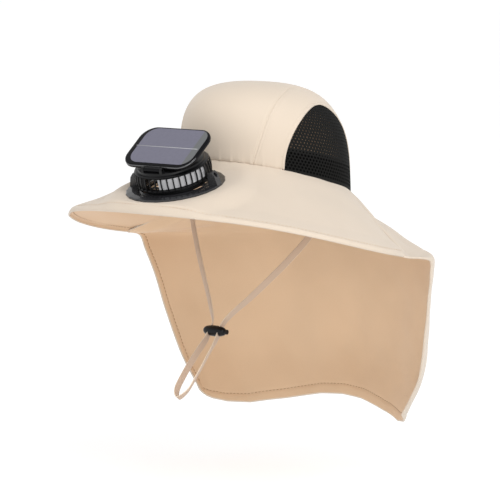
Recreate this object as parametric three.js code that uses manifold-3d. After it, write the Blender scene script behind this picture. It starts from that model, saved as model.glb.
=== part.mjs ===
// Sun hat with a solar fan on its brim, a mesh vent in each side of the crown, a neck flap and a chin strap.
// Millimetres, +Z up. The wearer faces -Y and the wearer's left is +X.
// The origin is the middle of the head opening.
import * as THREE from 'three';
import { mergeVertices } from 'three/addons/utils/BufferGeometryUtils.js';
import Module from 'manifold-3d';

const wasm = await Module();
wasm.setup();

const { degToRad, lerp, smoothstep } = THREE.MathUtils;

// Gaps between neighbours
const clearance = 0.3;
const bandClearance = 0.6;
const flapSeamGap = 0.9;

// Cloth thickness
const crownWall = 1.6;
const ventWall = 1;
const brimWall = 2;
const flapWall = 1.4;
const bandWall = 1.5;

// Crown: the opening is an ellipse that tilts up to the front, and the walls rise in a superellipse
const headHalfWidth = 86.7;
const headHalfLength = 98.4;
const openingTilt = 0.26;
const crownHeight = 102;
const crownForward = 5.8;
const crownLean = 7.9;
const wallRoundness = 2.84;
const topRoundness = 3.2;
const bandHeight = 25;

// Centre panel of the crown: half width on the unit disc of the crown, by distance from its middle
const seamTable = [
  { at: 0, half: 0.274 },
  { at: 0.06, half: 0.284 },
  { at: 0.12, half: 0.312 },
  { at: 0.2, half: 0.348 },
  { at: 0.38, half: 0.406 },
  { at: 0.51, half: 0.45 },
  { at: 0.64, half: 0.49 },
  { at: 0.851, half: 0.525 },
];

// Mesh vents: an arch on each side, by angle round the crown and share of the way up its profile
const ventTurn = degToRad(5.6);
const ventHalfAngle = degToRad(43.2);
const ventRise = 0.52;
const ventArch = 1.87;
const ventFootInset = 0.12;
const ventBar = 0.3;

// Brim: distances out from the opening to its edge, and the heights of the edge
const brimSideWidth = 105.2;
const brimFrontWidth = 116.4;
const brimWidestForward = 49.5;
const edgeDrop = 57.9;
const edgeFrontRise = 35;
const edgeSideDroop = 3.9;
const edgeRipple = 1.4;
const brimInnerEnd = degToRad(28);
const brimOuterEnd = degToRad(14.4);

// Neck flap: half width at its shoulder, depth behind the origin and length below it at the hem
const flapHalfWidth = 196;
const flapRear = 145;
const flapLength = 252.5;

// Rear of the flap along its seam with the brim: shares of the way out and down to the shoulder
const flapShoulderRear = 126;
const flapShoulderDrop = 81;
const flapSeamTable = [
  { seam: 0, out: 0, down: 0 },
  { seam: 0.16, out: 0.27, down: 0.1 },
  { seam: 0.32, out: 0.5, down: 0.22 },
  { seam: 0.5, out: 0.69, down: 0.38 },
  { seam: 0.68, out: 0.84, down: 0.56 },
  { seam: 0.84, out: 0.94, down: 0.74 },
  { seam: 1, out: 0.99, down: 0.9 },
];

// Free part of the flap: its front edge and its rear, as shares of flapHalfWidth, flapRear and flapLength
const flapFreeTable = [
  { side: 0.985, front: 0.06, sideDrop: 0.289, rear: 0.866, rearDrop: 0.31, hem: 0 },
  { side: 0.998, front: 0.161, sideDrop: 0.304, rear: 0.869, rearDrop: 0.33, hem: 0 },
  { side: 0.98, front: 0.21, sideDrop: 0.375, rear: 0.888, rearDrop: 0.385, hem: 0 },
  { side: 0.952, front: 0.248, sideDrop: 0.454, rear: 0.91, rearDrop: 0.455, hem: 0 },
  { side: 0.898, front: 0.315, sideDrop: 0.643, rear: 0.985, rearDrop: 0.642, hem: 0.12 },
  { side: 0.819, front: 0.379, sideDrop: 0.843, rear: 1.055, rearDrop: 0.84, hem: 0.5 },
  { side: 0.704, front: 0.401, sideDrop: 1, rear: 0.98, rearDrop: 1, hem: 1 },
];

// Hem of the flap: how far it hangs below its corners, as a share of flapLength, by place from side to side
const hemTable = [
  { at: 0, drop: 0 },
  { at: 0.05, drop: 0.022 },
  { at: 0.1, drop: 0.046 },
  { at: 0.18, drop: 0.063 },
  { at: 0.3, drop: 0.042 },
  { at: 0.42, drop: 0.012 },
  { at: 0.5, drop: 0.004 },
  { at: 0.58, drop: 0.012 },
  { at: 0.7, drop: 0.042 },
  { at: 0.82, drop: 0.063 },
  { at: 0.9, drop: 0.046 },
  { at: 0.95, drop: 0.022 },
  { at: 1, drop: 0 },
];

// Fan unit: it stands on a flat seat pressed into the brim, with its own +Z square to that seat
const fanStandoff = 57.1;
const fanDrop = 23.2;
const fanTilt = degToRad(13.8);
const flangeRadius = 52;
const flangeThickness = 2.6;
const flangeLip = 1.8;
const flangeLipSlope = 1.1;
const dishRadius = 45.5;
const dishFloor = 1.1;
const dishInner = 38;
const innerLipRadius = 35;
const innerLipWidth = 1.5;
const innerLip = 2;
const seatMargin = 14;
const seatBlend = 22;
const throatRadius = 35;

// Fan head: a slotted drum on two trunnions between the flange's brackets, heights from the head's middle
const headLift = 15;
const headTilt = degToRad(5.3);
const pivotLift = 12;
const pivotTurn = degToRad(11.4);
const trunnionRadius = 2.2;
const trunnionLength = 6;
const trunnionPad = 7;
const skirtRadius = 34.5;
const skirtWall = 1.5;
const skirtFoot = -12;
const cageRadius = 40;
const cageFoot = -6.4;
const cageTop = 10.6;
const cageWall = 2;
const cageShoulder = 3;
const cageInnerShoulder = 1;
const padSink = 0.7;
const capRadius = 35.5;
const capHeight = 2.86;
const slotCount = 28;
const slotWidth = 7;
const slotMargin = 2;
const slotHeight = 12.5;
const plateWall = 1.2;
const plateHeight = 11;
const plateFoot = -3.5;
const plateFrom = degToRad(13);
const plateTo = degToRad(97);
const rotorRadius = 32.3;
const bladeCount = 7;
const bladeChord = 15;
const bladeWall = 1.2;
const bladePitch = degToRad(32);
const bladeTable = [
  { out: 0.8, chord: -0.5 },
  { out: 1, chord: -0.25 },
  { out: 1, chord: 0.33 },
  { out: 0.7, chord: 0.5 },
];
const hubRadius = 11;
const hubHeight = 9;
const hubChamfer = 2;
const motorRadius = 10;
const motorHeight = 6.5;
const shaftRadius = 1.2;
const lugWidth = 9.4;
const lugTopDepth = 5;
const lugShoulderDepth = 8;
const lugShoulderDrop = 4;
const lugFootDepth = 10.5;
const lugAbovePivot = 3.4;
const clampRadius = 44;
const clampThickness = 2.5;
const clampInset = 1;
const guardBar = 2;
const guardHub = 9;
const guardThickness = 2;

// Solar panel: a framed plate hinged along its front edge to two ears on the lid of the cage
const panelWidth = 90;
const panelLength = 58.6;
const panelCorner = 17;
const panelThickness = 4.5;
const panelEdge = 0.8;
const frameBorder = 3.5;
const cellRecess = 1.2;
const cellThickness = 0.8;
const panelOpen = degToRad(18.8);
const hingeForward = 31.3;
const barrelRadius = 2.2;
const barrelHalf = 10;
const earWidth = 3.5;
const pinRadius = 1.1;
const hingeGap = 0.65;
const hingeLift = barrelRadius + hingeGap;
const webMargin = 1;
const webThickness = 3.1;

// Chin strap: a flat cord from under the left of the brim, through the lock and round a loop, and back
const strapWidth = 7.5;
const strapThickness = 1.3;
const stepsPerSpan = 2;
const lockCentre = new THREE.Vector3(0, -90, -156);
const lockLean = degToRad(36.87);
const lockHalfLength = 14;
const lockHalfDepth = 6.2;
const lockHalfHeight = 6;
const strandOffset = 6.5;
const buttonRadius = 2.6;
const buttonLength = 6;
const buttonProud = 2.4;
const buttonTravel = 2;

// Left half of the strap's route, from its sewn end under the brim to the tip of the loop
const strapRoute = [
  [94.8, -14.2, -8.5],
  [90.6, -17.2, -22],
  [85, -21.6, -40],
  [77, -27.8, -56.7],
  [58.6, -42.4, -83.5],
  [39.8, -56.6, -107.2],
  [26.3, -67, -123.4],
  [14.4, -77.2, -137],
  [7.6, -83.2, -146.6],
  [6.5, -87, -152],
  [6.5, -93, -160],
  [6.5, -96, -164],
  [7.6, -112, -178.5],
  [8.3, -132, -198],
  [6.8, -146, -212.5],
  [0, -152.5, -219],
];

// Turn of the strap's flat towards the front, for each millimetre out from the middle, by height
const strapTurnTable = [
  { height: -219, turn: -0.06 },
  { height: -172, turn: -0.06 },
  { height: -160, turn: 0 },
  { height: -146, turn: 0 },
  { height: -120, turn: 0.03 },
  { height: -7, turn: 0.03 },
];

// Numbers of cells in the sheets
const crownRows = 18;
const centreColumns = 8;
const sideColumns = 4;
const ventColumns = 17;
const ventRows = 7;
const bandColumns = 36;
const brimColumns = 33;
const flapColumns = 21;
const brimRadii = [0, 0.07, 0.16, 0.32, 0.5, 0.68, 0.84, 0.93, 1];
const roundSides = 24;
const smallSides = 12;
const arcSteps = 7;
const cornerSteps = 4;

// Colours
const sand = { color: 0xdfcfbd, roughness: 0.9, metalness: 0 };
const sandInside = { color: 0xd2b18d, roughness: 0.9, metalness: 0 };
const netBlack = { color: 0x2b2b2c, roughness: 0.8, metalness: 0 };
const plasticBlack = { color: 0x1d1e20, roughness: 0.35, metalness: 0 };
const plasticGrey = { color: 0xb4b4b8, roughness: 0.5, metalness: 0 };
const cellBlue = { color: 0x6d7086, roughness: 0.25, metalness: 0.1 };
const strapSand = { color: 0xcdb79f, roughness: 0.85, metalness: 0 };
const pinSteel = { color: 0x8a8c90, roughness: 0.3, metalness: 0.9 };

const hat = new THREE.Group();
hat.name = 'sun_hat';

function addMesh(parent, name, geometry, finish) {
  const mesh = new THREE.Mesh(geometry, new THREE.MeshStandardMaterial(finish));
  mesh.name = name;
  parent.add(mesh);
  return mesh;
}

// A geometry with only positions, shared corners merged and no collapsed triangles
function bare(geometry) {
  geometry.deleteAttribute('normal');
  geometry.deleteAttribute('uv');
  const merged = mergeVertices(geometry, 1e-4);
  const old = merged.index.array;
  const kept = [];
  for (let i = 0; i < old.length; i += 3) {
    const [a, b, c] = [old[i], old[i + 1], old[i + 2]];
    if (a !== b && b !== c && c !== a) {
      kept.push(a, b, c);
    }
  }
  merged.setIndex(kept);
  return merged;
}

function toSolid(geometry) {
  const clean = bare(geometry);
  const vertProperties = new Float32Array(clean.attributes.position.array);
  const triVerts = new Uint32Array(clean.index.array);
  return new wasm.Manifold(new wasm.Mesh({ numProp: 3, vertProperties, triVerts }));
}

function fromSolid(solid) {
  const mesh = solid.getMesh();
  const geometry = new THREE.BufferGeometry();
  geometry.setAttribute('position', new THREE.BufferAttribute(new Float32Array(mesh.vertProperties), 3));
  geometry.setIndex(Array.from(mesh.triVerts));
  return geometry;
}

function joined(solids) {
  return solids.reduce((whole, next) => whole.add(next));
}

// Value of a column of a table, joined by straight lines, at a place in the column named key
function readTable(rows, key, column, place) {
  let next = rows.findIndex((row) => row[key] >= place);
  if (next < 1) {
    next = next === 0 ? 1 : rows.length - 1;
  }
  const [low, high] = [rows[next - 1], rows[next]];
  return lerp(low[column], high[column], (place - low[key]) / (high[key] - low[key]));
}

function evenly(count, from = 0, to = 1) {
  return Array.from({ length: count + 1 }, (_, i) => lerp(from, to, i / count));
}

// A closed sheet of the given thickness under the surface that frameAt gives as point and outward normal.
// A round sheet joins its last column to its first, and openAt(column, row) leaves a cell out.
function sheet(frameAt, us, vs, wall, { round = false, openAt = () => false } = {}) {
  const columns = us.length - 1;
  const rows = vs.length - 1;
  const across = round ? columns : columns + 1;
  const layer = across * (rows + 1);
  const positions = new Float32Array(layer * 2 * 3);
  const at = (i, j) => (i % across) * (rows + 1) + j;
  for (let i = 0; i < across; i += 1) {
    for (let j = 0; j <= rows; j += 1) {
      const { point, normal } = frameAt(us[i], vs[j]);
      point.toArray(positions, at(i, j) * 3);
      point.addScaledVector(normal, -wall).toArray(positions, (layer + at(i, j)) * 3);
    }
  }
  const inside = (i, j) => j >= 0 && j < rows && (round || (i >= 0 && i < columns));
  const filled = (i, j) => inside(i, j) && !openAt((i + columns) % columns, j);
  const index = [];
  const side = (a, b) => index.push(a, b, b + layer, a, b + layer, a + layer);
  for (let i = 0; i < columns; i += 1) {
    for (let j = 0; j < rows; j += 1) {
      if (!filled(i, j)) {
        continue;
      }
      const [a, b, c, d] = [at(i, j), at(i + 1, j), at(i + 1, j + 1), at(i, j + 1)];
      index.push(a, c, b, a, d, c);
      index.push(a + layer, b + layer, c + layer, a + layer, c + layer, d + layer);
      if (!filled(i, j - 1)) {
        side(a, b);
      }
      if (!filled(i + 1, j)) {
        side(b, c);
      }
      if (!filled(i, j + 1)) {
        side(c, d);
      }
      if (!filled(i - 1, j)) {
        side(d, a);
      }
    }
  }
  const geometry = new THREE.BufferGeometry();
  geometry.setAttribute('position', new THREE.BufferAttribute(positions, 3));
  geometry.setIndex(index);
  return facingOut(geometry);
}

// Turns every triangle round if the closed surface is inside out
function facingOut(geometry) {
  const { array } = geometry.attributes.position;
  const index = geometry.index.array;
  const corner = (i) => new THREE.Vector3().fromArray(array, index[i] * 3);
  let volume = 0;
  for (let i = 0; i < index.length; i += 3) {
    volume += corner(i).dot(corner(i + 1).cross(corner(i + 2)));
  }
  if (volume < 0) {
    geometry.setIndex(Array.from(index).reverse());
  }
  return geometry;
}

// Adds the outward normal to a surface given by its points alone
function withNormal(pointAt) {
  const step = 1e-3;
  return (u, v) => {
    const alongU = pointAt(u + step, v).sub(pointAt(u - step, v));
    const alongV = pointAt(u, v + step).sub(pointAt(u, v - step));
    return { point: pointAt(u, v), normal: alongV.cross(alongU).normalize() };
  };
}

// The crown's profile at even steps along it: shares of the opening's radius and of the crown's height
function crownProfile() {
  const steps = 240;
  const rows = [];
  let length = 0;
  for (let i = 0; i <= steps; i += 1) {
    const angle = ((1 - Math.cos((Math.PI * i) / steps)) * Math.PI) / 4;
    const radius = i === steps ? 0 : Math.cos(angle) ** (2 / wallRoundness);
    const height = Math.sin(angle) ** (2 / topRoundness);
    if (i > 0) {
      const last = rows[i - 1];
      const mean = (headHalfWidth + headHalfLength) / 2;
      length += Math.hypot((radius - last.radius) * mean, (height - last.height) * crownHeight);
    }
    rows.push({ length, radius, height });
  }
  return rows;
}

const profileRows = crownProfile();
const profileLength = profileRows[profileRows.length - 1].length;

// A point of the crown's outside from the unit disc: its rim is the head opening, its middle the crown's top
function crownPoint(x, y) {
  const angle = Math.atan2(y, x);
  const along = (1 - Math.hypot(x, y)) * profileLength;
  const radius = along < 0 ? 1 : readTable(profileRows, 'length', 'radius', along);
  const height = along < 0 ? along / crownHeight : readTable(profileRows, 'length', 'height', along);
  const side = headHalfWidth * Math.cos(angle);
  const rear = headHalfLength * Math.sin(angle);
  const top = crownHeight - crownLean * Math.sin(angle) * radius;
  const z = lerp(-openingTilt * rear, top, height);
  return new THREE.Vector3(side * radius, rear * radius - crownForward * height, z);
}

function crownFrame(x, y) {
  const step = 2e-3;
  const alongX = crownPoint(x + step, y).sub(crownPoint(x - step, y));
  const alongY = crownPoint(x, y + step).sub(crownPoint(x, y - step));
  return { point: crownPoint(x, y), normal: alongX.cross(alongY).normalize() };
}

// The same by angle round the crown and share of the way up its profile
function crownFrameAt(angle, share) {
  return crownFrame((1 - share) * Math.cos(angle), (1 - share) * Math.sin(angle));
}

// A point on the crown's inner face at the opening, lowered by the gap, where the brim and the flap begin
function crownFoot(angle) {
  const { point, normal } = crownFrameAt(angle, 0);
  return point.addScaledVector(normal, -crownWall).setZ(point.z - clearance);
}

// Seam between the centre panel and the left side panel on the unit disc, from front over the top to rear
function seamOnDisc(share) {
  const end = seamTable[seamTable.length - 1];
  const y = -(1 - 2 * share) * Math.sqrt(1 - end.half ** 2);
  return { x: readTable(seamTable, 'at', 'half', Math.abs(y)), y };
}

function centrePanelFrame(u, v) {
  const seam = seamOnDisc(v);
  const endHalf = seamTable[seamTable.length - 1].half;
  const x = u * (seam.x - clearance / 2 / profileLength);
  const bow = Math.sqrt(1 - (u * endHalf) ** 2) / Math.sqrt(1 - endHalf ** 2);
  return crownFrame(x, seam.y * bow);
}

// The vent's arch by angle round the crown and share of the way up, from its front foot to its rear foot
function ventArchAt(share, grow) {
  const turn = Math.PI * (1 - share);
  const half = ventHalfAngle + grow / headHalfWidth;
  const rise = ventRise + grow / profileLength;
  const across = Math.sign(Math.cos(turn)) * Math.abs(Math.cos(turn)) ** (2 / ventArch);
  const up = share <= 0 || share >= 1 ? 0 : Math.sin(turn) ** (2 / ventArch);
  return { angle: ventTurn + across * half, share: up * rise };
}

// The left side panel: an arch of cloth from the centre seam down to the vent
function sidePanelFrame(u, v) {
  const seam = seamOnDisc(v);
  const x = seam.x + clearance / 2 / profileLength;
  const outer = { angle: Math.atan2(seam.y, x), share: Math.max(0, 1 - Math.hypot(x, seam.y)) };
  const inner = ventArchAt(v, clearance);
  const angle = lerp(outer.angle, inner.angle, u);
  const share = v <= 0 || v >= 1 ? 0 : lerp(outer.share, inner.share, u);
  return crownFrameAt(angle, share);
}

function ventFrame(u, v) {
  const arch = ventArchAt(u, 0);
  const foot = ventTurn + lerp(-1, 1, u) * ventHalfAngle * (1 - ventFootInset);
  return crownFrameAt(lerp(foot, arch.angle, v), arch.share * v);
}

// Column lines of a net: wide open cells between narrow bars
function netLines(cells) {
  const lines = [0];
  for (let i = 0; i < cells; i += 1) {
    lines.push(lines[i] + (i % 2 === 0 ? ventBar : 1 - ventBar));
  }
  return lines.map((line) => line / lines[cells]);
}

function bandFrame(u, v) {
  const share = (clearance * 2 + v * bandHeight) / profileLength;
  const { point, normal } = crownFrameAt(u * Math.PI * 2, share);
  return { point: point.addScaledVector(normal, -crownWall - bandClearance), normal };
}

function mirrored(geometry) {
  const copy = geometry.clone().scale(-1, 1, 1);
  return facingOut(copy);
}

function addCrown() {
  const rows = evenly(crownRows);
  const centre = sheet(centrePanelFrame, evenly(centreColumns, -1, 1), rows, crownWall);
  addMesh(hat, 'crown_centre_panel', centre, sand);
  const side = sheet(sidePanelFrame, evenly(sideColumns), rows, crownWall);
  addMesh(hat, 'crown_side_left', side, sand);
  addMesh(hat, 'crown_side_right', mirrored(side), sand);
  const openAt = (column, row) => column % 2 === 1 && row % 2 === 1;
  const vent = sheet(ventFrame, netLines(ventColumns), netLines(ventRows), ventWall, { openAt });
  addMesh(hat, 'mesh_vent_left', vent, netBlack);
  addMesh(hat, 'mesh_vent_right', mirrored(vent), netBlack);
  const band = sheet(bandFrame, evenly(bandColumns), evenly(1), bandWall, { round: true });
  addMesh(hat, 'sweatband', band, netBlack);
}

// The fan's own frame on the brim
const fan = new THREE.Group();
fan.position.set(0, -headHalfLength - fanStandoff, openingTilt * headHalfLength - fanDrop);
fan.rotation.x = fanTilt;
fan.updateMatrixWorld();
hat.add(fan);
const toFan = fan.matrixWorld.clone().invert();

function brimEdge(angle) {
  const halfLength = headHalfLength + brimFrontWidth - brimWidestForward;
  const rise = -edgeFrontRise * Math.sin(angle) - edgeSideDroop * Math.cos(2 * angle);
  return new THREE.Vector3(
    (headHalfWidth + brimSideWidth) * Math.cos(angle),
    halfLength * Math.sin(angle) - brimWidestForward,
    rise - edgeDrop - edgeRipple * Math.cos(4 * angle),
  );
}

// The brim's top before the fan presses its seat into it: u from right end to left end, v outward
function openBrimPoint(u, v) {
  const inner = lerp(-Math.PI - brimInnerEnd, brimInnerEnd, u);
  const outer = lerp(-Math.PI - brimOuterEnd, brimOuterEnd, u);
  return crownFoot(inner).lerp(brimEdge(outer), v);
}

function brimPoint(u, v) {
  const local = openBrimPoint(u, v).applyMatrix4(toFan);
  const reach = Math.hypot(local.x, local.y);
  const held = 1 - smoothstep(reach, flangeRadius + seatMargin, flangeRadius + seatMargin + seatBlend);
  const free = Math.min(1, Math.max(0, v / brimRadii[1]), Math.max(0, (1 - v) / (1 - brimRadii.at(-2))));
  local.z = lerp(local.z, -clearance, held * free);
  return local.applyMatrix4(fan.matrixWorld);
}

function addBrim() {
  const cloth = toSolid(sheet(withNormal(brimPoint), evenly(brimColumns), brimRadii, brimWall));
  const throat = rod(throatRadius, brimWall * 8).applyMatrix4(fan.matrixWorld);
  addMesh(hat, 'front_brim', fromSolid(cloth.subtract(toSolid(throat))), sand);
}

// Lines of the flap from the crown down to the hem: the front edge's point and the rear's
function flapLines() {
  const rearFoot = crownFoot(Math.PI / 2);
  const seamLines = flapSeamTable.map((row) => ({
    front: openBrimPoint(1, row.seam),
    rear: lerp(rearFoot.y, flapShoulderRear, row.out),
    rearZ: lerp(rearFoot.z, -flapShoulderDrop, row.down),
    hem: 0,
  }));
  const freeLines = flapFreeTable.map((row) => ({
    front: new THREE.Vector3(row.side * flapHalfWidth, row.front * flapRear, -row.sideDrop * flapLength),
    rear: row.rear * flapRear,
    rearZ: -row.rearDrop * flapLength,
    hem: row.hem,
  }));
  return [...seamLines, ...freeLines];
}

const clothLines = flapLines();

// One line of the flap is part of an ellipse round the head: u from left front edge round the rear to right
function flapLinePoint(line, u) {
  const start = Math.asin(line.front.y / line.rear);
  const halfWidth = line.front.x / Math.cos(start);
  const shift = flapSeamGap / halfWidth;
  const angle = lerp(start + shift, Math.PI - start - shift, u);
  const y = line.rear * Math.sin(angle);
  const z = lerp(line.front.z, line.rearZ, (y - line.front.y) / (line.rear - line.front.y));
  const hem = readTable(hemTable, 'at', 'drop', u) * flapLength * line.hem;
  return new THREE.Vector3(halfWidth * Math.cos(angle), y, z - hem);
}

function flapPoint(u, v) {
  const last = clothLines.length - 1;
  const place = v * last;
  const row = Math.min(last - 1, Math.max(0, Math.floor(place)));
  const upper = flapLinePoint(clothLines[row], u);
  return upper.lerp(flapLinePoint(clothLines[row + 1], u), place - row);
}

function addFlap() {
  const frame = withNormal(flapPoint);
  addMesh(hat, 'neck_flap', sheet(frame, evenly(flapColumns), evenly(clothLines.length - 1), flapWall), sand);
}

// A turned shape round +Z from pairs of radius and height
function turned(profile, sides = roundSides) {
  const points = profile.map(([radius, height]) => new THREE.Vector2(radius, height));
  return facingOut(bare(new THREE.LatheGeometry(points, sides).rotateX(Math.PI / 2)));
}

function rod(radius, length, sides = roundSides) {
  return new THREE.CylinderGeometry(radius, radius, length, sides).rotateX(Math.PI / 2);
}

function block(width, depth, height, x, y, z) {
  return new THREE.BoxGeometry(width, depth, height).translate(x, y, z);
}

const head = new THREE.Group();
head.position.set(0, 0, headLift);
head.rotation.x = headTilt;
head.updateMatrix();
fan.add(head);
const toHead = head.matrix.clone().invert();

// A rod along X
function crossRod(radius, length) {
  return rod(radius, length, smallSides).rotateY(Math.PI / 2);
}

// Turns a shape on the fan's X axis to the line of the trunnions
function onPivot(geometry) {
  return geometry.rotateZ(pivotTurn).translate(0, 0, pivotLift);
}

// Dished ring on the brim with a bracket for each trunnion
function addFlange() {
  const ring = turned([
    [innerLipRadius, 0],
    [flangeRadius, 0],
    [flangeRadius, flangeLip / 2],
    [flangeRadius - flangeLipSlope, flangeLip],
    [dishRadius, flangeThickness],
    [dishInner, dishFloor],
    [innerLipRadius + innerLipWidth, innerLip],
    [innerLipRadius, innerLip],
    [innerLipRadius, 0],
  ]);
  const inner = cageRadius + clearance * 2;
  const foot = dishFloor / 2 - pivotLift;
  const lug = new THREE.Shape();
  lug.moveTo(inner, foot);
  lug.lineTo(inner + lugFootDepth, foot);
  lug.lineTo(inner + lugShoulderDepth, lugAbovePivot - lugShoulderDrop);
  lug.lineTo(inner + lugTopDepth, lugAbovePivot);
  lug.lineTo(inner, lugAbovePivot);
  const bracket = new THREE.ExtrudeGeometry(lug, { depth: lugWidth, bevelEnabled: false, steps: 1 });
  bracket.rotateX(Math.PI / 2).translate(0, lugWidth / 2, 0);
  const right = onPivot(bracket.clone().rotateZ(Math.PI));
  const left = onPivot(bracket);
  const bearing = onPivot(crossRod(trunnionRadius + clearance, flangeRadius * 2));
  const flange = joined([toSolid(ring), toSolid(left), toSolid(right)]).subtract(toSolid(bearing));
  addMesh(fan, 'fan_flange', fromSolid(flange), plasticBlack);
}

// Slotted drum with a skirt below, a raised cap on its lid, trunnions, and two ears for the panel's hinge
function addCage() {
  const inner = cageRadius - cageWall;
  const capTop = cageTop + capHeight;
  const drum = turned([
    [0, cageTop - cageWall],
    [inner - cageInnerShoulder, cageTop - cageWall],
    [inner, cageTop - cageWall - cageInnerShoulder],
    [inner, cageFoot + cageWall],
    [skirtRadius - skirtWall, cageFoot + cageWall],
    [skirtRadius - skirtWall, skirtFoot],
    [skirtRadius, skirtFoot],
    [skirtRadius, cageFoot],
    [cageRadius, cageFoot],
    [cageRadius, cageTop - cageShoulder],
    [cageRadius - cageShoulder, cageTop],
    [capRadius, cageTop],
    [capRadius, capTop],
    [0, capTop],
  ], slotCount);
  let cage = toSolid(drum);
  for (let i = 0; i < slotCount; i += 1) {
    const middle = cageFoot + slotMargin + slotHeight / 2;
    const slot = block(cageWall * 3, slotWidth, slotHeight, cageRadius, 0, middle);
    slot.rotateZ(((i + 0.5) * Math.PI * 2) / slotCount);
    cage = cage.subtract(toSolid(slot));
  }
  for (const side of [-1, 1]) {
    const padDepth = cageWall - padSink;
    const pad = block(padDepth, trunnionPad, trunnionPad, side * (cageRadius - padDepth / 2), 0, 0);
    const pin = crossRod(trunnionRadius, trunnionLength);
    pin.translate(side * (cageRadius - cageWall + trunnionLength / 2), 0, 0);
    const [padInHead, pinInHead] = [pad, pin].map((shape) => onPivot(shape).applyMatrix4(toHead));
    cage = cage.add(toSolid(padInHead)).add(toSolid(pinInHead));
  }
  const earFoot = hingeLift + capHeight / 2;
  const earPlace = barrelHalf + clearance + earWidth / 2;
  for (const side of [-1, 1]) {
    const post = block(earWidth, barrelRadius * 2, earFoot, side * earPlace, 0, -earFoot / 2);
    const eye = crossRod(barrelRadius, earWidth).translate(side * earPlace, 0, 0);
    const ear = toSolid(post).add(toSolid(eye));
    cage = cage.add(ear.translate([0, -hingeForward, capTop + hingeLift]));
  }
  const bore = crossRod(pinRadius + clearance, barrelHalf * 3);
  bore.translate(0, -hingeForward, capTop + hingeLift);
  addMesh(head, 'fan_cage', fromSolid(cage.subtract(toSolid(bore))), plasticBlack);
}

// Light plates behind the slots, one on each side of the front
function addPlates() {
  const outer = cageRadius - cageWall - clearance;
  const shape = new THREE.Shape();
  shape.absarc(0, 0, outer, plateFrom - Math.PI / 2, plateTo - Math.PI / 2, false);
  shape.absarc(0, 0, outer - plateWall, plateTo - Math.PI / 2, plateFrom - Math.PI / 2, true);
  const extrusion = { depth: plateHeight, bevelEnabled: false, curveSegments: arcSteps };
  const plate = new THREE.ExtrudeGeometry(shape, extrusion);
  plate.translate(0, 0, plateFoot);
  addMesh(head, 'louvre_plate_left', bare(plate), plasticGrey);
  addMesh(head, 'louvre_plate_right', mirrored(bare(plate.clone())), plasticGrey);
}

const motorFoot = cageTop - cageWall - clearance - motorHeight;
const hubTop = motorFoot - clearance;

function addMotor() {
  const motor = turned([
    [shaftRadius + clearance, motorFoot],
    [motorRadius, motorFoot],
    [motorRadius, motorFoot + motorHeight],
    [shaftRadius + clearance, motorFoot + motorHeight],
    [shaftRadius + clearance, motorFoot],
  ], smallSides);
  addMesh(head, 'fan_motor', motor, plasticGrey);
}

// Hub with a shaft up into the motor, and pitched blades
function addRotor() {
  const hub = turned([
    [0, hubTop - hubHeight],
    [hubRadius - hubChamfer, hubTop - hubHeight],
    [hubRadius, hubTop - hubHeight + hubChamfer],
    [hubRadius, hubTop],
    [shaftRadius, hubTop],
    [shaftRadius, hubTop + motorHeight],
    [0, hubTop + motorHeight],
  ], smallSides);
  let rotor = toSolid(hub);
  const outline = new THREE.Shape();
  outline.moveTo(hubRadius - hubChamfer, -bladeChord / 4);
  for (const row of bladeTable) {
    outline.lineTo(row.out * rotorRadius, row.chord * bladeChord);
  }
  outline.lineTo(hubRadius - hubChamfer, bladeChord / 4);
  for (let i = 0; i < bladeCount; i += 1) {
    const blade = new THREE.ExtrudeGeometry(outline, { depth: bladeWall, bevelEnabled: false, steps: 1 });
    blade.translate(0, 0, -bladeWall / 2);
    blade.rotateX(bladePitch);
    blade.rotateZ((i * Math.PI * 2) / bladeCount);
    blade.translate(0, 0, hubTop - hubHeight / 2);
    rotor = rotor.add(toSolid(blade));
  }
  addMesh(head, 'fan_rotor', fromSolid(rotor), plasticBlack);
}

// Ring under the brim that clamps the cloth, with guard bars across the throat
function addClampRing() {
  const top = -clearance * 2 - brimWall;
  const middle = top - clampThickness / 2;
  const inner = throatRadius - clampInset;
  const ring = turned([
    [inner, top - clampThickness],
    [clampRadius, top - clampThickness],
    [clampRadius, top],
    [inner, top],
    [inner, top - clampThickness],
  ]);
  const bars = [0, 1, 2, 3].map((i) => {
    const bar = block(throatRadius * 2, guardBar, guardThickness, 0, 0, middle);
    return toSolid(bar.rotateZ((i * Math.PI) / 4));
  });
  const boss = toSolid(rod(guardHub, guardThickness, smallSides).translate(0, 0, middle));
  addMesh(fan, 'clamp_ring', fromSolid(joined([toSolid(ring), boss, ...bars])), plasticBlack);
}

function roundedOutline(width, length, corner) {
  const shape = new THREE.Shape();
  const [x, y] = [width / 2 - corner, length / 2 - corner];
  shape.absarc(x, y, corner, 0, Math.PI / 2, false);
  shape.absarc(-x, y, corner, Math.PI / 2, Math.PI, false);
  shape.absarc(-x, -y, corner, Math.PI, Math.PI * 1.5, false);
  shape.absarc(x, -y, corner, Math.PI * 1.5, Math.PI * 2, false);
  return shape;
}

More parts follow.
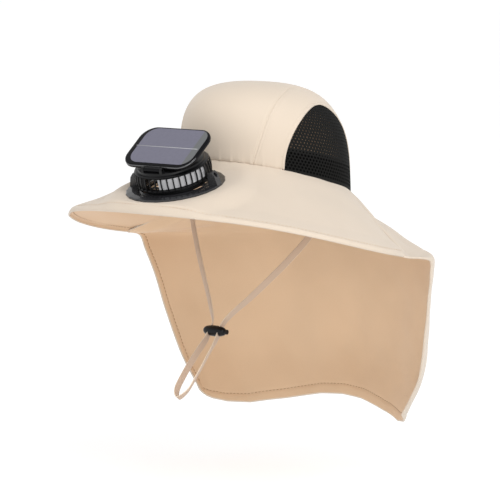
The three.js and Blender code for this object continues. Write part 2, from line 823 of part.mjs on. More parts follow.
function addSolarPanel() {
  const hingeHeight = cageTop + capHeight + hingeLift;
  const panel = new THREE.Group();
  panel.position.set(0, -hingeForward, hingeHeight);
  panel.rotation.x = panelOpen;
  head.add(panel);
  const middle = barrelRadius + webMargin + panelLength / 2;
  const top = panelThickness / 2;
  const [frameWidth, frameLength] = [panelWidth - panelEdge * 2, panelLength - panelEdge * 2];
  const frame = new THREE.ExtrudeGeometry(roundedOutline(frameWidth, frameLength, panelCorner - panelEdge), {
    depth: panelThickness - panelEdge * 2,
    bevelEnabled: true,
    bevelThickness: panelEdge,
    bevelSize: panelEdge,
    bevelSegments: 1,
    curveSegments: cornerSteps,
    steps: 1,
  });
  frame.translate(0, middle, panelEdge - top);
  const border = frameBorder * 2;
  const recess = roundedOutline(panelWidth - border, panelLength - border, panelCorner - frameBorder);
  const plain = { bevelEnabled: false, curveSegments: cornerSteps };
  const pocket = new THREE.ExtrudeGeometry(recess, { depth: cellRecess * 2, ...plain });
  pocket.translate(0, middle, top - cellRecess);
  const barrel = crossRod(barrelRadius, barrelHalf * 2);
  const webDepth = barrelRadius + webMargin * 2;
  const web = block(barrelHalf * 2, webDepth, webThickness, 0, webDepth / 2, 0);
  const bore = crossRod(pinRadius + clearance, barrelHalf * 3);
  const plate = toSolid(frame).subtract(toSolid(pocket));
  const body = plate.add(toSolid(barrel)).add(toSolid(web)).subtract(toSolid(bore));
  addMesh(panel, 'panel_frame', fromSolid(body), plasticBlack);
  const inset = (frameBorder + clearance) * 2;
  const corner = panelCorner - frameBorder - clearance;
  const cellOutline = roundedOutline(panelWidth - inset, panelLength - inset, corner);
  const cells = new THREE.ExtrudeGeometry(cellOutline, { depth: cellThickness, ...plain });
  cells.translate(0, middle, top - cellRecess + clearance);
  addMesh(panel, 'solar_cells', bare(cells), cellBlue);
  const pin = crossRod(pinRadius, (barrelHalf + clearance + earWidth) * 2);
  pin.translate(0, -hingeForward, hingeHeight);
  addMesh(head, 'hinge_pin', pin, pinSteel);
}

// The strap's path. It is stepped evenly from point to point, and turns the flat of the strap by its table.
class FlatPath extends THREE.CatmullRomCurve3 {
  getUtoTmapping(share) {
    return share;
  }

  computeFrenetFrames(steps) {
    const frames = { tangents: [], normals: [], binormals: [] };
    for (let i = 0; i <= steps; i += 1) {
      const tangent = this.getTangentAt(i / steps);
      const point = this.getPointAt(i / steps);
      const turn = readTable(strapTurnTable, 'height', 'turn', point.z) * point.x;
      const across = new THREE.Vector3(turn, Math.cos(lockLean), -Math.sin(lockLean));
      const normal = across.clone().addScaledVector(tangent, -across.dot(tangent)).normalize();
      frames.tangents.push(tangent);
      frames.normals.push(normal);
      frames.binormals.push(tangent.clone().cross(normal));
    }
    return frames;
  }
}

function addStrap() {
  const left = strapRoute.map((place) => new THREE.Vector3(...place));
  const right = strapRoute.slice(0, -1).map(([x, y, z]) => new THREE.Vector3(-x, y, z)).reverse();
  const path = new FlatPath([...left, ...right], false, 'centripetal');
  const steps = (left.length + right.length - 1) * stepsPerSpan;
  const [w, t] = [strapWidth / 2, strapThickness / 2];
  const section = new THREE.Shape([
    new THREE.Vector2(-w, -t / 2),
    new THREE.Vector2(-w + t, -t),
    new THREE.Vector2(w - t, -t),
    new THREE.Vector2(w, -t / 2),
    new THREE.Vector2(w, t / 2),
    new THREE.Vector2(w - t, t),
    new THREE.Vector2(-w + t, t),
    new THREE.Vector2(-w, t / 2),
  ]);
  const strap = new THREE.ExtrudeGeometry(section, { steps, extrudePath: path, bevelEnabled: false });
  addMesh(hat, 'chin_strap', facingOut(bare(strap)), strapSand);
}

// Bean-shaped lock with a slot for each strand, and a sprung button in its left end
function addLock() {
  const lock = new THREE.Group();
  lock.position.copy(lockCentre);
  lock.rotation.x = -lockLean;
  hat.add(lock);
  const bean = new THREE.SphereGeometry(1, smallSides, 8).rotateZ(Math.PI / 2);
  bean.scale(lockHalfLength, lockHalfDepth, lockHalfHeight);
  let body = toSolid(bean);
  const [slotWide, slotDeep] = [strapThickness + clearance * 2, strapWidth + clearance * 2];
  for (const side of [-1, 1]) {
    const slot = block(slotWide, slotDeep, lockHalfHeight * 4, side * strandOffset, 0, 0);
    body = body.subtract(toSolid(slot));
  }
  const buttonFoot = lockHalfLength + buttonProud - buttonLength;
  const wellDepth = lockHalfLength * 2 - buttonFoot + buttonTravel + clearance;
  const well = crossRod(buttonRadius + clearance, wellDepth);
  well.translate(lockHalfLength * 2 - wellDepth / 2, 0, 0);
  addMesh(lock, 'cord_lock', fromSolid(body.subtract(toSolid(well))), plasticBlack);
  const button = crossRod(buttonRadius, buttonLength);
  button.translate(buttonFoot + buttonLength / 2, 0, 0);
  addMesh(lock, 'cord_lock_button', button, plasticBlack);
}

addCrown();
addBrim();
addFlap();
addFlange();
addCage();
addPlates();
addMotor();
addRotor();
addClampRing();
addSolarPanel();
addStrap();
addLock();

export default hat;
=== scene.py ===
import math

import bmesh
import bpy
import numpy as np
from mathutils import Matrix, Vector


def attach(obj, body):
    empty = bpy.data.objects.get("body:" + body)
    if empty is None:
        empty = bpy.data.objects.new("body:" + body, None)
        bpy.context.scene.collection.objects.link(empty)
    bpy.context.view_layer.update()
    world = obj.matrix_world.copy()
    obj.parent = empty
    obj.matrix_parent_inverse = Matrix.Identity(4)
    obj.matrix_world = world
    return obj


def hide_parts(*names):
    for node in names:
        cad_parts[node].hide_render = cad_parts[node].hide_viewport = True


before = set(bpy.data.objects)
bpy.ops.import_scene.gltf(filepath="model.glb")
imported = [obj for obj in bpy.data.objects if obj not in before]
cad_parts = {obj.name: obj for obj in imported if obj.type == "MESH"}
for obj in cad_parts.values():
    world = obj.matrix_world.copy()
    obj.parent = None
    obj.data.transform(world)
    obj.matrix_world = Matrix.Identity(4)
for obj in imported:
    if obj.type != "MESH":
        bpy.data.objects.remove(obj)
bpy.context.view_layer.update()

# Shapes are worked out in millimetres and made in metres. The wearer faces -Y, and the wearer's left is +X.
MM = 0.001

# Camera, from the photograph
CAMERA_TURN = math.radians(37.117)
CAMERA_RISE = math.radians(6.985)
CAMERA_DISTANCE = 3356.7
CAMERA_LENS = 226.17
CAMERA_SENSOR = 36
CAMERA_REACH = 50
CAMERA_SHIFT = (17.348, 78.522)

# Sizes that the CAD model states
CLEARANCE = 0.3
FLAP_SEAM_GAP = 0.9
CROWN_WALL = 1.6
BRIM_WALL = 2.0
FLAP_WALL = 1.4
HEAD_HALF_WIDTH = 86.7
HEAD_HALF_LENGTH = 98.4
HEAD_MEAN = (HEAD_HALF_WIDTH + HEAD_HALF_LENGTH) / 2
OPENING_TILT = 0.26
CROWN_HEIGHT = 102.0
CROWN_FORWARD = 5.8
CROWN_LEAN = 7.9
WALL_ROUNDNESS = 2.84
TOP_ROUNDNESS = 3.2
VENT_TURN = math.radians(5.6)
VENT_HALF_ANGLE = math.radians(43.2)
VENT_RISE = 0.52
VENT_ARCH = 1.87
BAND_HEIGHT = 25.0
BRIM_SIDE_WIDTH = 105.2
BRIM_FRONT_WIDTH = 116.4
BRIM_WIDEST_FORWARD = 49.5
EDGE_DROP = 57.9
EDGE_FRONT_RISE = 35.0
EDGE_SIDE_DROOP = 3.9
EDGE_RIPPLE = 1.4
BRIM_INNER_END = math.radians(28)
BRIM_OUTER_END = math.radians(14.4)
FLAP_HALF_WIDTH = 196.0
FLAP_REAR = 145.0
FLAP_LENGTH = 252.5
FLAP_SHOULDER_REAR = 126.0
FLAP_SHOULDER_DROP = 81.0
FAN_TILT = math.radians(13.8)
FAN_CENTRE = np.array([0.0, -155.5, 2.384])
FLANGE_RADIUS = 52.0
HEAD_LIFT = 15.0
HEAD_TILT = math.radians(5.3)
CAGE_RADIUS = 40.0
CAGE_FOOT = -6.4
CAGE_TOP = 10.6
SKIRT_RADIUS = 34.5
SKIRT_FOOT = -12.0
CAP_RADIUS = 35.5
CAP_HEIGHT = 2.86
HINGE_FORWARD = 31.3
HINGE_LIFT = 2.85
HINGE_MIDDLE = 10.0
HINGE_EAR = 3.5
HINGE_RADIUS = 2.2
WEB_REACH = HINGE_RADIUS + 3
TRUNNION_TURN = math.radians(11.4)
TRUNNION_LIFT = 12.0
TRUNNION_RADIUS = 2.2
PANEL_OPEN = math.radians(18.8)
PANEL_WIDTH = 90.0
PANEL_LENGTH = 58.6
PANEL_CORNER = 17.0
PANEL_THICKNESS = 4.5
THROAT_RADIUS = 35.0
SEAT_MARGIN = 14.0
SEAT_BLEND = 22.0
LOCK_CENTRE = np.array([0.0, -90.0, -156.0])
LOCK_LEAN = math.radians(36.87)
STRAND_OFFSET = 6.5

# Half width of the crown's centre panel on the unit disc, by distance from its middle
SEAM_AT = [0.0, 0.06, 0.12, 0.2, 0.38, 0.51, 0.64, 0.851]
SEAM_HALF = [0.274, 0.284, 0.312, 0.348, 0.406, 0.45, 0.49, 0.525]

# Flap along its seam with the brim: share of the seam, way out and way down at the rear
FLAP_SEAM_ROWS = [
    (0.0, 0.0, 0.0),
    (0.16, 0.27, 0.1),
    (0.32, 0.5, 0.22),
    (0.5, 0.69, 0.38),
    (0.68, 0.84, 0.56),
    (0.84, 0.94, 0.74),
    (1.0, 0.99, 0.9),
]

# Free part of the flap: side, front, drop at the side, rear, drop at the rear and share of the hem's shape
FLAP_FREE_ROWS = [
    (0.985, 0.06, 0.289, 0.866, 0.31, 0.0),
    (0.998, 0.161, 0.304, 0.869, 0.33, 0.0),
    (0.98, 0.21, 0.375, 0.888, 0.385, 0.0),
    (0.952, 0.248, 0.454, 0.91, 0.455, 0.0),
    (0.898, 0.315, 0.643, 0.985, 0.642, 0.12),
    (0.819, 0.379, 0.843, 1.055, 0.84, 0.5),
    (0.704, 0.401, 1.0, 0.98, 1.0, 1.0),
]

# Hem of the flap: place from side to side and drop below the corners
HEM_AT = [0.0, 0.05, 0.1, 0.18, 0.3, 0.42, 0.5, 0.58, 0.7, 0.82, 0.9, 0.95, 0.975, 0.99, 1.0]
HEM_DROP = [0, 0.022, 0.046, 0.063, 0.042, 0.012, 0.004, 0.012, 0.042, 0.063, 0.057, 0.041, 0.027, 0.013, 0]

# Sag of the flap's shoulder behind the brim's seam
SHOULDER_SAG = 7.5

# Left half of the chin strap's route, from its sewn end under the brim to the tip of the loop
STRAP_ROUTE = [
    (94.8, -14.2, -8.5),
    (90.6, -17.2, -22),
    (85, -21.6, -40),
    (77, -27.8, -56.7),
    (58.6, -42.4, -83.5),
    (39.8, -56.6, -107.2),
    (26.3, -67, -123.4),
    (14.4, -77.2, -137),
    (7.6, -83.2, -146.6),
    (6.5, -87, -152),
    (6.5, -93, -160),
    (6.5, -96, -164),
    (7.6, -112, -178.5),
    (8.3, -132, -198),
    (6.8, -146, -212.5),
    (0, -152.5, -219),
]
STRAP_WIDTH = 7.0
STRAP_THICKNESS = 1.2

# Turn of the strap's flat for each millimetre out from the middle, by height, at the wearer's left and right
TURN_AT = [-219.0, -172.0, -160.0, -146.0, -120.0, -7.0]
TURN_LEFT = [-0.06, -0.06, 0.0, 0.0, 0.018, 0.018]
TURN_RIGHT = [-0.06, -0.06, 0.0, 0.12, 0.06, 0.03]

# Brightness of the horizon and of the sky above it, and where one passes into the other
HORIZON = 1.02
SKY = 0.68
SKY_FROM = 0.2
SKY_TO = 0.45
FLOOR_HEIGHT = -330
FLOOR_HALF = 9000
FLOOR_GLOW = 0.62

# Net of the vents: distance between holes, a hole's share of its cell, wall and depth under the crown
NET_PITCH = 4.1
NET_HOLE_LOW = 0.68
NET_HOLE_HIGH = 0.42
NET_BORDER = 2.0
NET_WALL = 0.7
NET_DEPTH = 0.75

# Bars of the fan head, and the ends of its trunnions and their square pads
BAR_COUNT = 38
TRUNNION_START = 38.2
TRUNNION_END = 44.0
TRUNNION_PAD_END = 39.9
TRUNNION_PAD_HALF = 3.5

# The cells' margins at the left, right, front and rear of the panel, their corners and the line across them
CELL_MARGINS = (7.0, 3.0, 4.5, 2.4)
CELL_CORNER = 13.0
BUSBAR_PLACE = -0.03

# Cord lock: half its size, its slots for the strands, and the well of its button
LOCK_HALF = (14.0, 6.0, 5.8)
LOCK_SLOT = (1.9, 8.1)
LOCK_SLOT_DEPTH = 24
WELL_RADIUS = 2.9
WELL_START = 8.1
WELL_END = 24.0

# Hems and stitches
BRIM_ROLL = 6.0
BRIM_STITCHES = 6.4
BRIM_GROOVE = 0.35
BRIM_CLOTH = BRIM_WALL * 0.9
BRIM_ROUND = 560
BRIM_PUFF = 2.4
FREE_HEM = 7.0
BOTTOM_HEM = 9.0
STITCH_LENGTH = 2.6
STITCH_GAP = 1.5
STITCH_WIDTH = 0.5
STITCH_RISE = 0.3

# Shape of a stitch from end to end: place along it, half width and rise
STITCH_SHAPE = [(-0.5, 0.3, -0.2), (-0.25, 0.5, 1.0), (0.25, 0.5, 1.0), (0.5, 0.3, -0.2)]

# Hard edges sharper than this stay sharp
SHARP = math.radians(40)
SHARP_NODE = math.radians(35)

X_AXIS = np.array([1.0, 0.0, 0.0])
Y_AXIS = np.array([0.0, 1.0, 0.0])
Z_AXIS = np.array([0.0, 0.0, 1.0])


# Camera
def add_camera():
    a, e = CAMERA_TURN, CAMERA_RISE
    back = np.array([math.sin(a) * math.cos(e), -math.cos(a) * math.cos(e), math.sin(e)])
    right = np.array([math.cos(a), math.sin(a), 0.0])
    up = np.cross(back, right)
    place = back * CAMERA_DISTANCE - right * CAMERA_SHIFT[0] - up * CAMERA_SHIFT[1]
    data = bpy.data.cameras.new("camera")
    data.lens = CAMERA_LENS
    data.sensor_width = CAMERA_SENSOR
    data.clip_end = CAMERA_REACH
    data.dof.use_dof = False
    camera = bpy.data.objects.new("camera", data)
    rows = np.column_stack([right, up, back, place * MM])
    camera.matrix_world = Matrix([list(row) for row in rows] + [[0, 0, 0, 1]])
    bpy.context.scene.collection.objects.link(camera)
    bpy.context.scene.camera = camera


add_camera()


# Materials
def new_material(name):
    material = bpy.data.materials.new(name)
    material.use_nodes = True
    tree = material.node_tree
    return material, tree, tree.nodes["Principled BSDF"]


def plain(name, colour, roughness, metallic=0.0, specular=0.5, coat=0.0):
    material, tree, shader = new_material(name)
    shader.inputs["Base Color"].default_value = (*colour, 1)
    shader.inputs["Roughness"].default_value = roughness
    shader.inputs["Metallic"].default_value = metallic
    shader.inputs["Specular IOR Level"].default_value = specular
    shader.inputs["Coat Weight"].default_value = coat
    return material, tree, shader


def noise(tree, coordinates, scale, detail=3.0):
    node = tree.nodes.new("ShaderNodeTexNoise")
    node.inputs["Scale"].default_value = scale
    node.inputs["Detail"].default_value = detail
    tree.links.new(coordinates, node.inputs["Vector"])
    return node.outputs["Fac"]


def maths(tree, operation, first, second=None):
    node = tree.nodes.new("ShaderNodeMath")
    node.operation = operation
    for place, value in enumerate((first, second)):
        if value is None:
            continue
        if isinstance(value, (int, float)):
            node.inputs[place].default_value = value
        else:
            tree.links.new(value, node.inputs[place])
    return node.outputs[0]


def coordinate_parts(tree, output):
    coordinates = tree.nodes.new("ShaderNodeTexCoord")
    split = tree.nodes.new("ShaderNodeSeparateXYZ")
    tree.links.new(coordinates.outputs[output], split.inputs[0])
    return coordinates, split


def blend_colours(tree, amount, low, high):
    node = tree.nodes.new("ShaderNodeMix")
    node.data_type = "RGBA"
    node.inputs["A"].default_value = (*low, 1)
    node.inputs["B"].default_value = (*high, 1)
    tree.links.new(amount, node.inputs["Factor"])
    return node.outputs["Result"]


def bump(tree, shader, height, strength, distance):
    node = tree.nodes.new("ShaderNodeBump")
    node.inputs["Strength"].default_value = strength
    node.inputs["Distance"].default_value = distance
    tree.links.new(height, node.inputs["Height"])
    tree.links.new(node.outputs["Normal"], shader.inputs["Normal"])


def thread_lines(tree, axis_value, pitch):
    wave = maths(tree, "SINE", maths(tree, "MULTIPLY", axis_value, 2 * math.pi / pitch))
    return maths(tree, "POWER", maths(tree, "ABSOLUTE", wave), 6.0)


# Woven cloth: faint ripstop squares, a fine grain and a slow drift of tone
def cloth_material(name, colour, depth=0.06, grid=0.0022):
    material, tree, shader = plain(name, colour, 0.88, specular=0.2)
    shader.inputs["Sheen Weight"].default_value = 0.25
    shader.inputs["Sheen Roughness"].default_value = 0.5
    coordinates, split = coordinate_parts(tree, "UV")
    grain = noise(tree, coordinates.outputs["UV"], 900.0, 4.0)
    drift = noise(tree, coordinates.outputs["Object"], 14.0, 2.0)
    lines = [thread_lines(tree, split.outputs[axis], grid) for axis in "XY"]
    squares = maths(tree, "MAXIMUM", *lines)
    tone = maths(tree, "ADD", maths(tree, "MULTIPLY", grain, 0.35), maths(tree, "MULTIPLY", drift, 0.65))
    tone = maths(tree, "SUBTRACT", tone, maths(tree, "MULTIPLY", squares, 0.12))
    low = tuple(c * (1 - depth) for c in colour)
    high = tuple(min(1.0, c * (1 + depth)) for c in colour)
    tree.links.new(blend_colours(tree, tone, low, high), shader.inputs["Base Color"])
    bump(tree, shader, maths(tree, "SUBTRACT", grain, maths(tree, "MULTIPLY", squares, 0.5)), 0.25, 0.0003)
    return material


def rough_plastic(name, colour, roughness, specular=0.5, grain=0.1):
    material, tree, shader = plain(name, colour, roughness, specular=specular)
    coordinates = tree.nodes.new("ShaderNodeTexCoord")
    bump(tree, shader, noise(tree, coordinates.outputs["Object"], 1500.0, 2.0), grain, 0.0002)
    return material


CELL_LOW = (0.11, 0.108, 0.15)
CELL_HIGH = (0.155, 0.152, 0.2)
CELL_END = (0.11, 0.115, 0.118)
CELL_END_PLACE = 0.0335
SAND = (0.61, 0.52, 0.425)
# Deeper, more saturated tan for the brim's underside: painted shade and bounce light
UNDERSIDE_SHADE_TAN = (0.67, 0.48, 0.32)
# Deeper, more saturated tan for the flap's inside: painted shade and bounce light
FLAP_INSIDE_SHADE_TAN = (0.68, 0.49, 0.325)
SAND_THREAD = (0.62, 0.47, 0.34)
DARK_THREAD = (0.3, 0.17, 0.09)

outer_cloth = cloth_material("outer_cloth", SAND)
# Underside cloth in the painted shade tan
under_cloth_painted_shade = cloth_material("under_cloth_painted_shade", UNDERSIDE_SHADE_TAN)
# Flap's inside in the painted shade tan, with a wider random spread of tone
flap_inside_painted_shade = cloth_material("flap_inside_painted_shade", FLAP_INSIDE_SHADE_TAN, 0.13)
# Dark brown inside face of the crown: painted shade for the hollow under the crown
crown_inside_painted_shade = cloth_material("crown_inside_painted_shade", (0.2, 0.145, 0.1))
thread_light = plain("sand_thread", SAND_THREAD, 0.8)[0]
thread_dark = plain("brown_thread", DARK_THREAD, 0.8)[0]
net_black = rough_plastic("black_net", (0.011, 0.011, 0.0105), 0.75, 0.06)
band_black = rough_plastic("black_band", (0.004, 0.004, 0.004), 0.95, 0.03)
plastic_black = rough_plastic("black_plastic", (0.005, 0.005, 0.0055), 0.28, 0.22)
plastic_flange = rough_plastic("grey_black_plastic", (0.016, 0.016, 0.018), 0.26, 0.6)
# Near-black copy of the silver grey plates, for the right louvre plate: painted shade
plate_painted_shade = rough_plastic("painted_shade_plastic", (0.01, 0.01, 0.011), 0.5, 0.12)
plastic_grey = rough_plastic("silver_grey_plastic", (0.41, 0.41, 0.425), 0.4, 0.5, 0.5)
panel_gloss = plain("panel_gloss", (0.004, 0.004, 0.005), 0.12, specular=0.1)[0]
# Lighter grey for the panel's front bevel: a painted highlight
panel_painted_highlight = plain("panel_painted_highlight", (0.05, 0.05, 0.053), 0.15, specular=0.8)[0]
silver_line = plain("silver_line", (0.42, 0.42, 0.43), 0.5, 0.2)[0]
steel = plain("pin_steel", (0.5, 0.5, 0.52), 0.3, 1.0)[0]
# Strap: flat faces painted darker for shade, narrow edges painted lighter as a highlight
strap_face_painted_shade = cloth_material("strap_webbing_painted_shade", (0.5, 0.375, 0.285), 0.08, 0.0012)
strap_edge_painted_highlight = cloth_material("strap_edge_painted_highlight", (0.72, 0.6, 0.47), 0.08, 0.0012)


# Mesh helpers
def make_object(name, vertices, faces, materials, indices=None, uvs=None, smooth=True):
    mesh = bpy.data.meshes.new(name)
    mesh.from_pydata((np.asarray(vertices) * MM).tolist(), [], faces)
    for material in materials:
        mesh.materials.append(material)
    if indices is not None:
        mesh.polygons.foreach_set("material_index", indices)
    if uvs is not None:
        layer = mesh.uv_layers.new(name="uv")
        loops = np.empty(len(mesh.loops), dtype=np.int32)
        mesh.loops.foreach_get("vertex_index", loops)
        layer.data.foreach_set("uv", (np.asarray(uvs)[loops] * MM).ravel())
    mesh.polygons.foreach_set("use_smooth", [smooth] * len(mesh.polygons))
    mesh.update()
    thing = bpy.data.objects.new(name, mesh)
    bpy.context.scene.collection.objects.link(thing)
    return thing


def unit(vectors):
    return vectors / np.maximum(np.linalg.norm(vectors, axis=-1, keepdims=True), 1e-9)


def crossed(u, v):
    return np.meshgrid(u, v, indexing="ij")


# Places along several stretches in turn, each given by its start, end and count
def stretches(*spans):
    parts = [np.linspace(*span) for span in spans]
    return np.concatenate([part[:-1] for part in parts[:-1]] + parts[-1:])


def running(steps):
    return np.concatenate([[0], np.cumsum(steps)])


def ease(value, low, high):
    share = np.clip((value - low) / (high - low), 0, 1)
    return share * share * (3 - 2 * share)


def dent(distance, width):
    return np.exp(-(distance / width) ** 2)


def turn_x(points, angle):
    c, s = math.cos(angle), math.sin(angle)
    x, y, z = points[..., 0], points[..., 1], points[..., 2]
    return np.stack([x, y * c - z * s, y * s + z * c], axis=-1)


def surface_normals(surface, u, v, step):
    along_u = surface(u + step, v) - surface(u - step, v)
    along_v = surface(u, v + step) - surface(u, v - step)
    return unit(np.cross(along_u, along_v))


# Faces between rings of points, where closed joins the last ring to the first
def grid_faces(rings, count, closed=False):
    faces = []
    for i in range(rings if closed else rings - 1):
        n = (i + 1) % rings
        for j in range(count):
            m = (j + 1) % count
            faces.append((i * count + j, n * count + j, n * count + m, i * count + m))
    return faces


# Faces of a closed tube made of rings of points
def tube_faces(count, rings):
    faces = []
    for k in range(rings - 1):
        for m in range(count):
            n = (m + 1) % count
            faces.append((k * count + m, k * count + n, (k + 1) * count + n, (k + 1) * count + m))
    faces.append(tuple(range(count))[::-1])
    faces.append(tuple((rings - 1) * count + m for m in range(count)))
    return faces


# A closed tube of the given section along a line, with the section's axes at each point
def swept(line, side, out, section):
    lines = [line[:, None] + side[:, None] * a + out[:, None] * b for a, b in section]
    vertices = np.concatenate(lines, axis=1)
    return vertices.reshape(-1, 3), tube_faces(len(section), len(line))


def straight(start, end, side, out, section):
    ends = np.array([start, end], dtype=float)
    return swept(ends, np.broadcast_to(side, (2, 3)), np.broadcast_to(out, (2, 3)), section)


def around_turn(count):
    return np.linspace(0, 2 * math.pi, count, endpoint=False)


def circle(radius, count):
    return [(radius * math.cos(t), radius * math.sin(t)) for t in around_turn(count)]


def box(half_width, half_height):
    w, h = half_width, half_height
    return [(-w, -h), (w, -h), (w, h), (-w, h)]


def rounded_bar(half_width, half_depth):
    w, d = half_width, half_depth
    near = [(-w, -d * 0.6), (-w, d * 0.4), (-w * 0.6, d), (w * 0.6, d)]
    return near + [(w, d * 0.4), (w, -d * 0.6), (w * 0.6, -d), (-w * 0.6, -d)]


# A closed ring turned from its section, given as pairs of radius and height
def turned_ring(profile, sides=96):
    angle = around_turn(sides)[:, None]
    section = np.array(profile, dtype=float)
    radius, height = section[None, :, 0], np.broadcast_to(section[None, :, 1], (sides, len(section)))
    points = np.stack([radius * np.cos(angle), radius * np.sin(angle), height], axis=-1)
    return points.reshape(-1, 3), grid_faces(sides, len(section), True)


def merged(parts):
    vertices, faces = [], []
    for points, polygons in parts:
        start = sum(len(v) for v in vertices)
        vertices.append(points)
        faces += [tuple(k + start for k in polygon) for polygon in polygons]
    return np.concatenate(vertices), faces


def face_outward(piece):
    shape = bmesh.new()
    shape.from_mesh(piece.data)
    bmesh.ops.remove_doubles(shape, verts=shape.verts, dist=1e-7)
    bmesh.ops.recalc_face_normals(shape, faces=shape.faces)
    shape.to_mesh(piece.data)
    shape.free()


def finish_hard(piece):
    face_outward(piece)
    piece.data.set_sharp_from_angle(angle=SHARP)


# A closed piece of cloth from a grid of points and outward normals, with its edges rounded.
# keep leaves grid cells out, and a round piece joins its last column to its first.
def cloth(name, points, normals, wall, outside, inside, keep=None, closed=False):
    columns, rows = points.shape[:2]
    wall = np.broadcast_to(wall, (columns, rows))[..., None]
    top = points.reshape(-1, 3)
    bottom = (points - normals * wall).reshape(-1, 3)
    count = columns * rows
    cells_across = columns if closed else columns - 1
    i, j = crossed(np.arange(cells_across), np.arange(rows - 1))
    if keep is not None:
        i, j = i[keep], j[keep]
    i, j = i.ravel(), j.ravel()
    after = (i + 1) % columns
    quads = np.stack([i * rows + j, after * rows + j, after * rows + j + 1, i * rows + j + 1], axis=1)
    flat = normals.reshape(-1, 3)
    first, second, fourth = (top[quads[:, k]] for k in (0, 1, 3))
    facing = np.einsum("ij,ij->i", np.cross(second - first, fourth - first), flat[quads[:, 0]])
    if facing.sum() < 0:
        quads = quads[:, ::-1]
    edges = np.concatenate([quads[:, [k, (k + 1) % 4]] for k in range(4)])
    reverse = set(map(tuple, edges[:, ::-1].tolist()))
    rim = [edge for edge in map(tuple, edges.tolist()) if edge not in reverse]
    outward = {}
    for a, b in rim:
        way = np.cross(top[b] - top[a], flat[a])
        for end in (a, b):
            outward[end] = outward.get(end, 0) + unit(way)
    rim_index = {end: 2 * count + k for k, end in enumerate(outward)}
    half = wall.reshape(-1, 1) / 2
    middle = [(top[end] + bottom[end]) / 2 + unit(way) * half[end] for end, way in outward.items()]
    faces = quads.tolist() + (quads[:, ::-1] + count).tolist()
    for a, b in rim:
        faces.append((b, a, rim_index[a], rim_index[b]))
        faces.append((rim_index[b], rim_index[a], a + count, b + count))
    indices = [0] * len(quads) + [1] * len(quads) + [0] * (2 * len(rim))
    step_u = np.linalg.norm(np.diff(points, axis=0), axis=2).mean(axis=1)
    step_v = np.linalg.norm(np.diff(points, axis=1), axis=2).mean(axis=0)
    uv = np.stack(crossed(running(step_u), running(step_v)), axis=-1).reshape(-1, 2)
    uvs = np.concatenate([uv, uv, uv[list(outward)]])
    vertices = np.concatenate([top, bottom, np.array(middle)])
    used = np.unique(np.concatenate([np.array(face) for face in faces]))
    renumber = np.full(len(vertices), -1)
    renumber[used] = np.arange(len(used))
    faces = [tuple(int(renumber[k]) for k in face) for face in faces]
    piece = make_object(name, vertices[used], faces, [outside, inside], indices, uvs[used])
    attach(piece, "hat")
    return piece


def at_place(place, along, vectors):
    return np.array([np.interp(place, along, vectors[:, k]) for k in range(3)])


# A row of raised stitches along a line on a surface
def stitches(name, points, normals, material):
    along = running(np.linalg.norm(np.diff(points, axis=0), axis=1))
    spacing = STITCH_LENGTH + STITCH_GAP
    vertices, faces = [], []
    for place in np.arange(0, along[-1], spacing)[:-1]:
        middle = place + spacing / 2
        centre = at_place(middle, along, points)
        normal = unit(at_place(middle, along, normals))
        way = unit(at_place(middle + 0.5, along, points) - centre)
        side = np.cross(normal, way)
        start = len(vertices)
        for reach, half, up in STITCH_SHAPE:
            spot = centre + way * reach * STITCH_LENGTH + normal * STITCH_RISE * up
            for out, over in ((1, 0), (0.4, 0.6), (-0.4, 0.6), (-1, 0)):
                vertices.append(spot + side * half * STITCH_WIDTH * out + normal * STITCH_RISE * over)
        for face in grid_faces(4, 4) + [(0, 1, 2, 3), (15, 14, 13, 12)]:
            faces.append(tuple(start + k for k in face))
    piece = make_object(name, vertices, faces, [material])
    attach(piece, "hat")
    return piece


# Crown
def crown_profile():
    angle = (1 - np.cos(np.linspace(0, math.pi, 601))) * math.pi / 4
    radius = np.cos(angle) ** (2 / WALL_ROUNDNESS)
    radius[-1] = 0
    height = np.sin(angle) ** (2 / TOP_ROUNDNESS)
    steps = np.hypot(np.diff(radius) * HEAD_MEAN, np.diff(height) * CROWN_HEIGHT)
    return running(steps), radius, height


PROFILE_ALONG, PROFILE_RADIUS, PROFILE_HEIGHT = crown_profile()
PROFILE_LENGTH = PROFILE_ALONG[-1]


def crown_point(x, y):
    angle = np.arctan2(y, x)
    along = (1 - np.hypot(x, y)) * PROFILE_LENGTH
    radius = np.where(along < 0, 1.0, np.interp(along, PROFILE_ALONG, PROFILE_RADIUS))
    height = np.where(along < 0, along / CROWN_HEIGHT, np.interp(along, PROFILE_ALONG, PROFILE_HEIGHT))
    side = HEAD_HALF_WIDTH * np.cos(angle)
    rear = HEAD_HALF_LENGTH * np.sin(angle)
    top = CROWN_HEIGHT - CROWN_LEAN * np.sin(angle) * radius
    z = -OPENING_TILT * rear * (1 - height) + top * height
    return np.stack([side * radius, rear * radius - CROWN_FORWARD * height, z], axis=-1)


def crown_normal(x, y):
    return surface_normals(crown_point, x, y, 2e-3)


def seam_on_disc(share):
    y = -(1 - 2 * share) * math.sqrt(1 - SEAM_HALF[-1] ** 2)
    half = np.interp(np.abs(y), SEAM_AT, SEAM_HALF)
    return half, y


def vent_arch(share, grow=0.0):
    turn = math.pi * (1 - share)
    half = VENT_HALF_ANGLE + grow / HEAD_HALF_WIDTH
    rise = VENT_RISE + grow / PROFILE_LENGTH
    across = np.sign(np.cos(turn)) * np.abs(np.cos(turn)) ** (2 / VENT_ARCH)
    up = np.clip(np.sin(turn), 0, None) ** (2 / VENT_ARCH)
    return VENT_TURN + across * half, up * rise


# Gathers of the crown into the brim's seam, fading up the wall
def base_gathers(angle, height):
    ripple = np.sin(angle * 47) + 0.6 * np.sin(angle * 83 + 1.3) + 0.5 * np.sin(angle * 131 + 0.4)
    return 0.32 * ripple * np.exp(-height / 7.0) - 0.9 * np.exp(-height / 2.0)


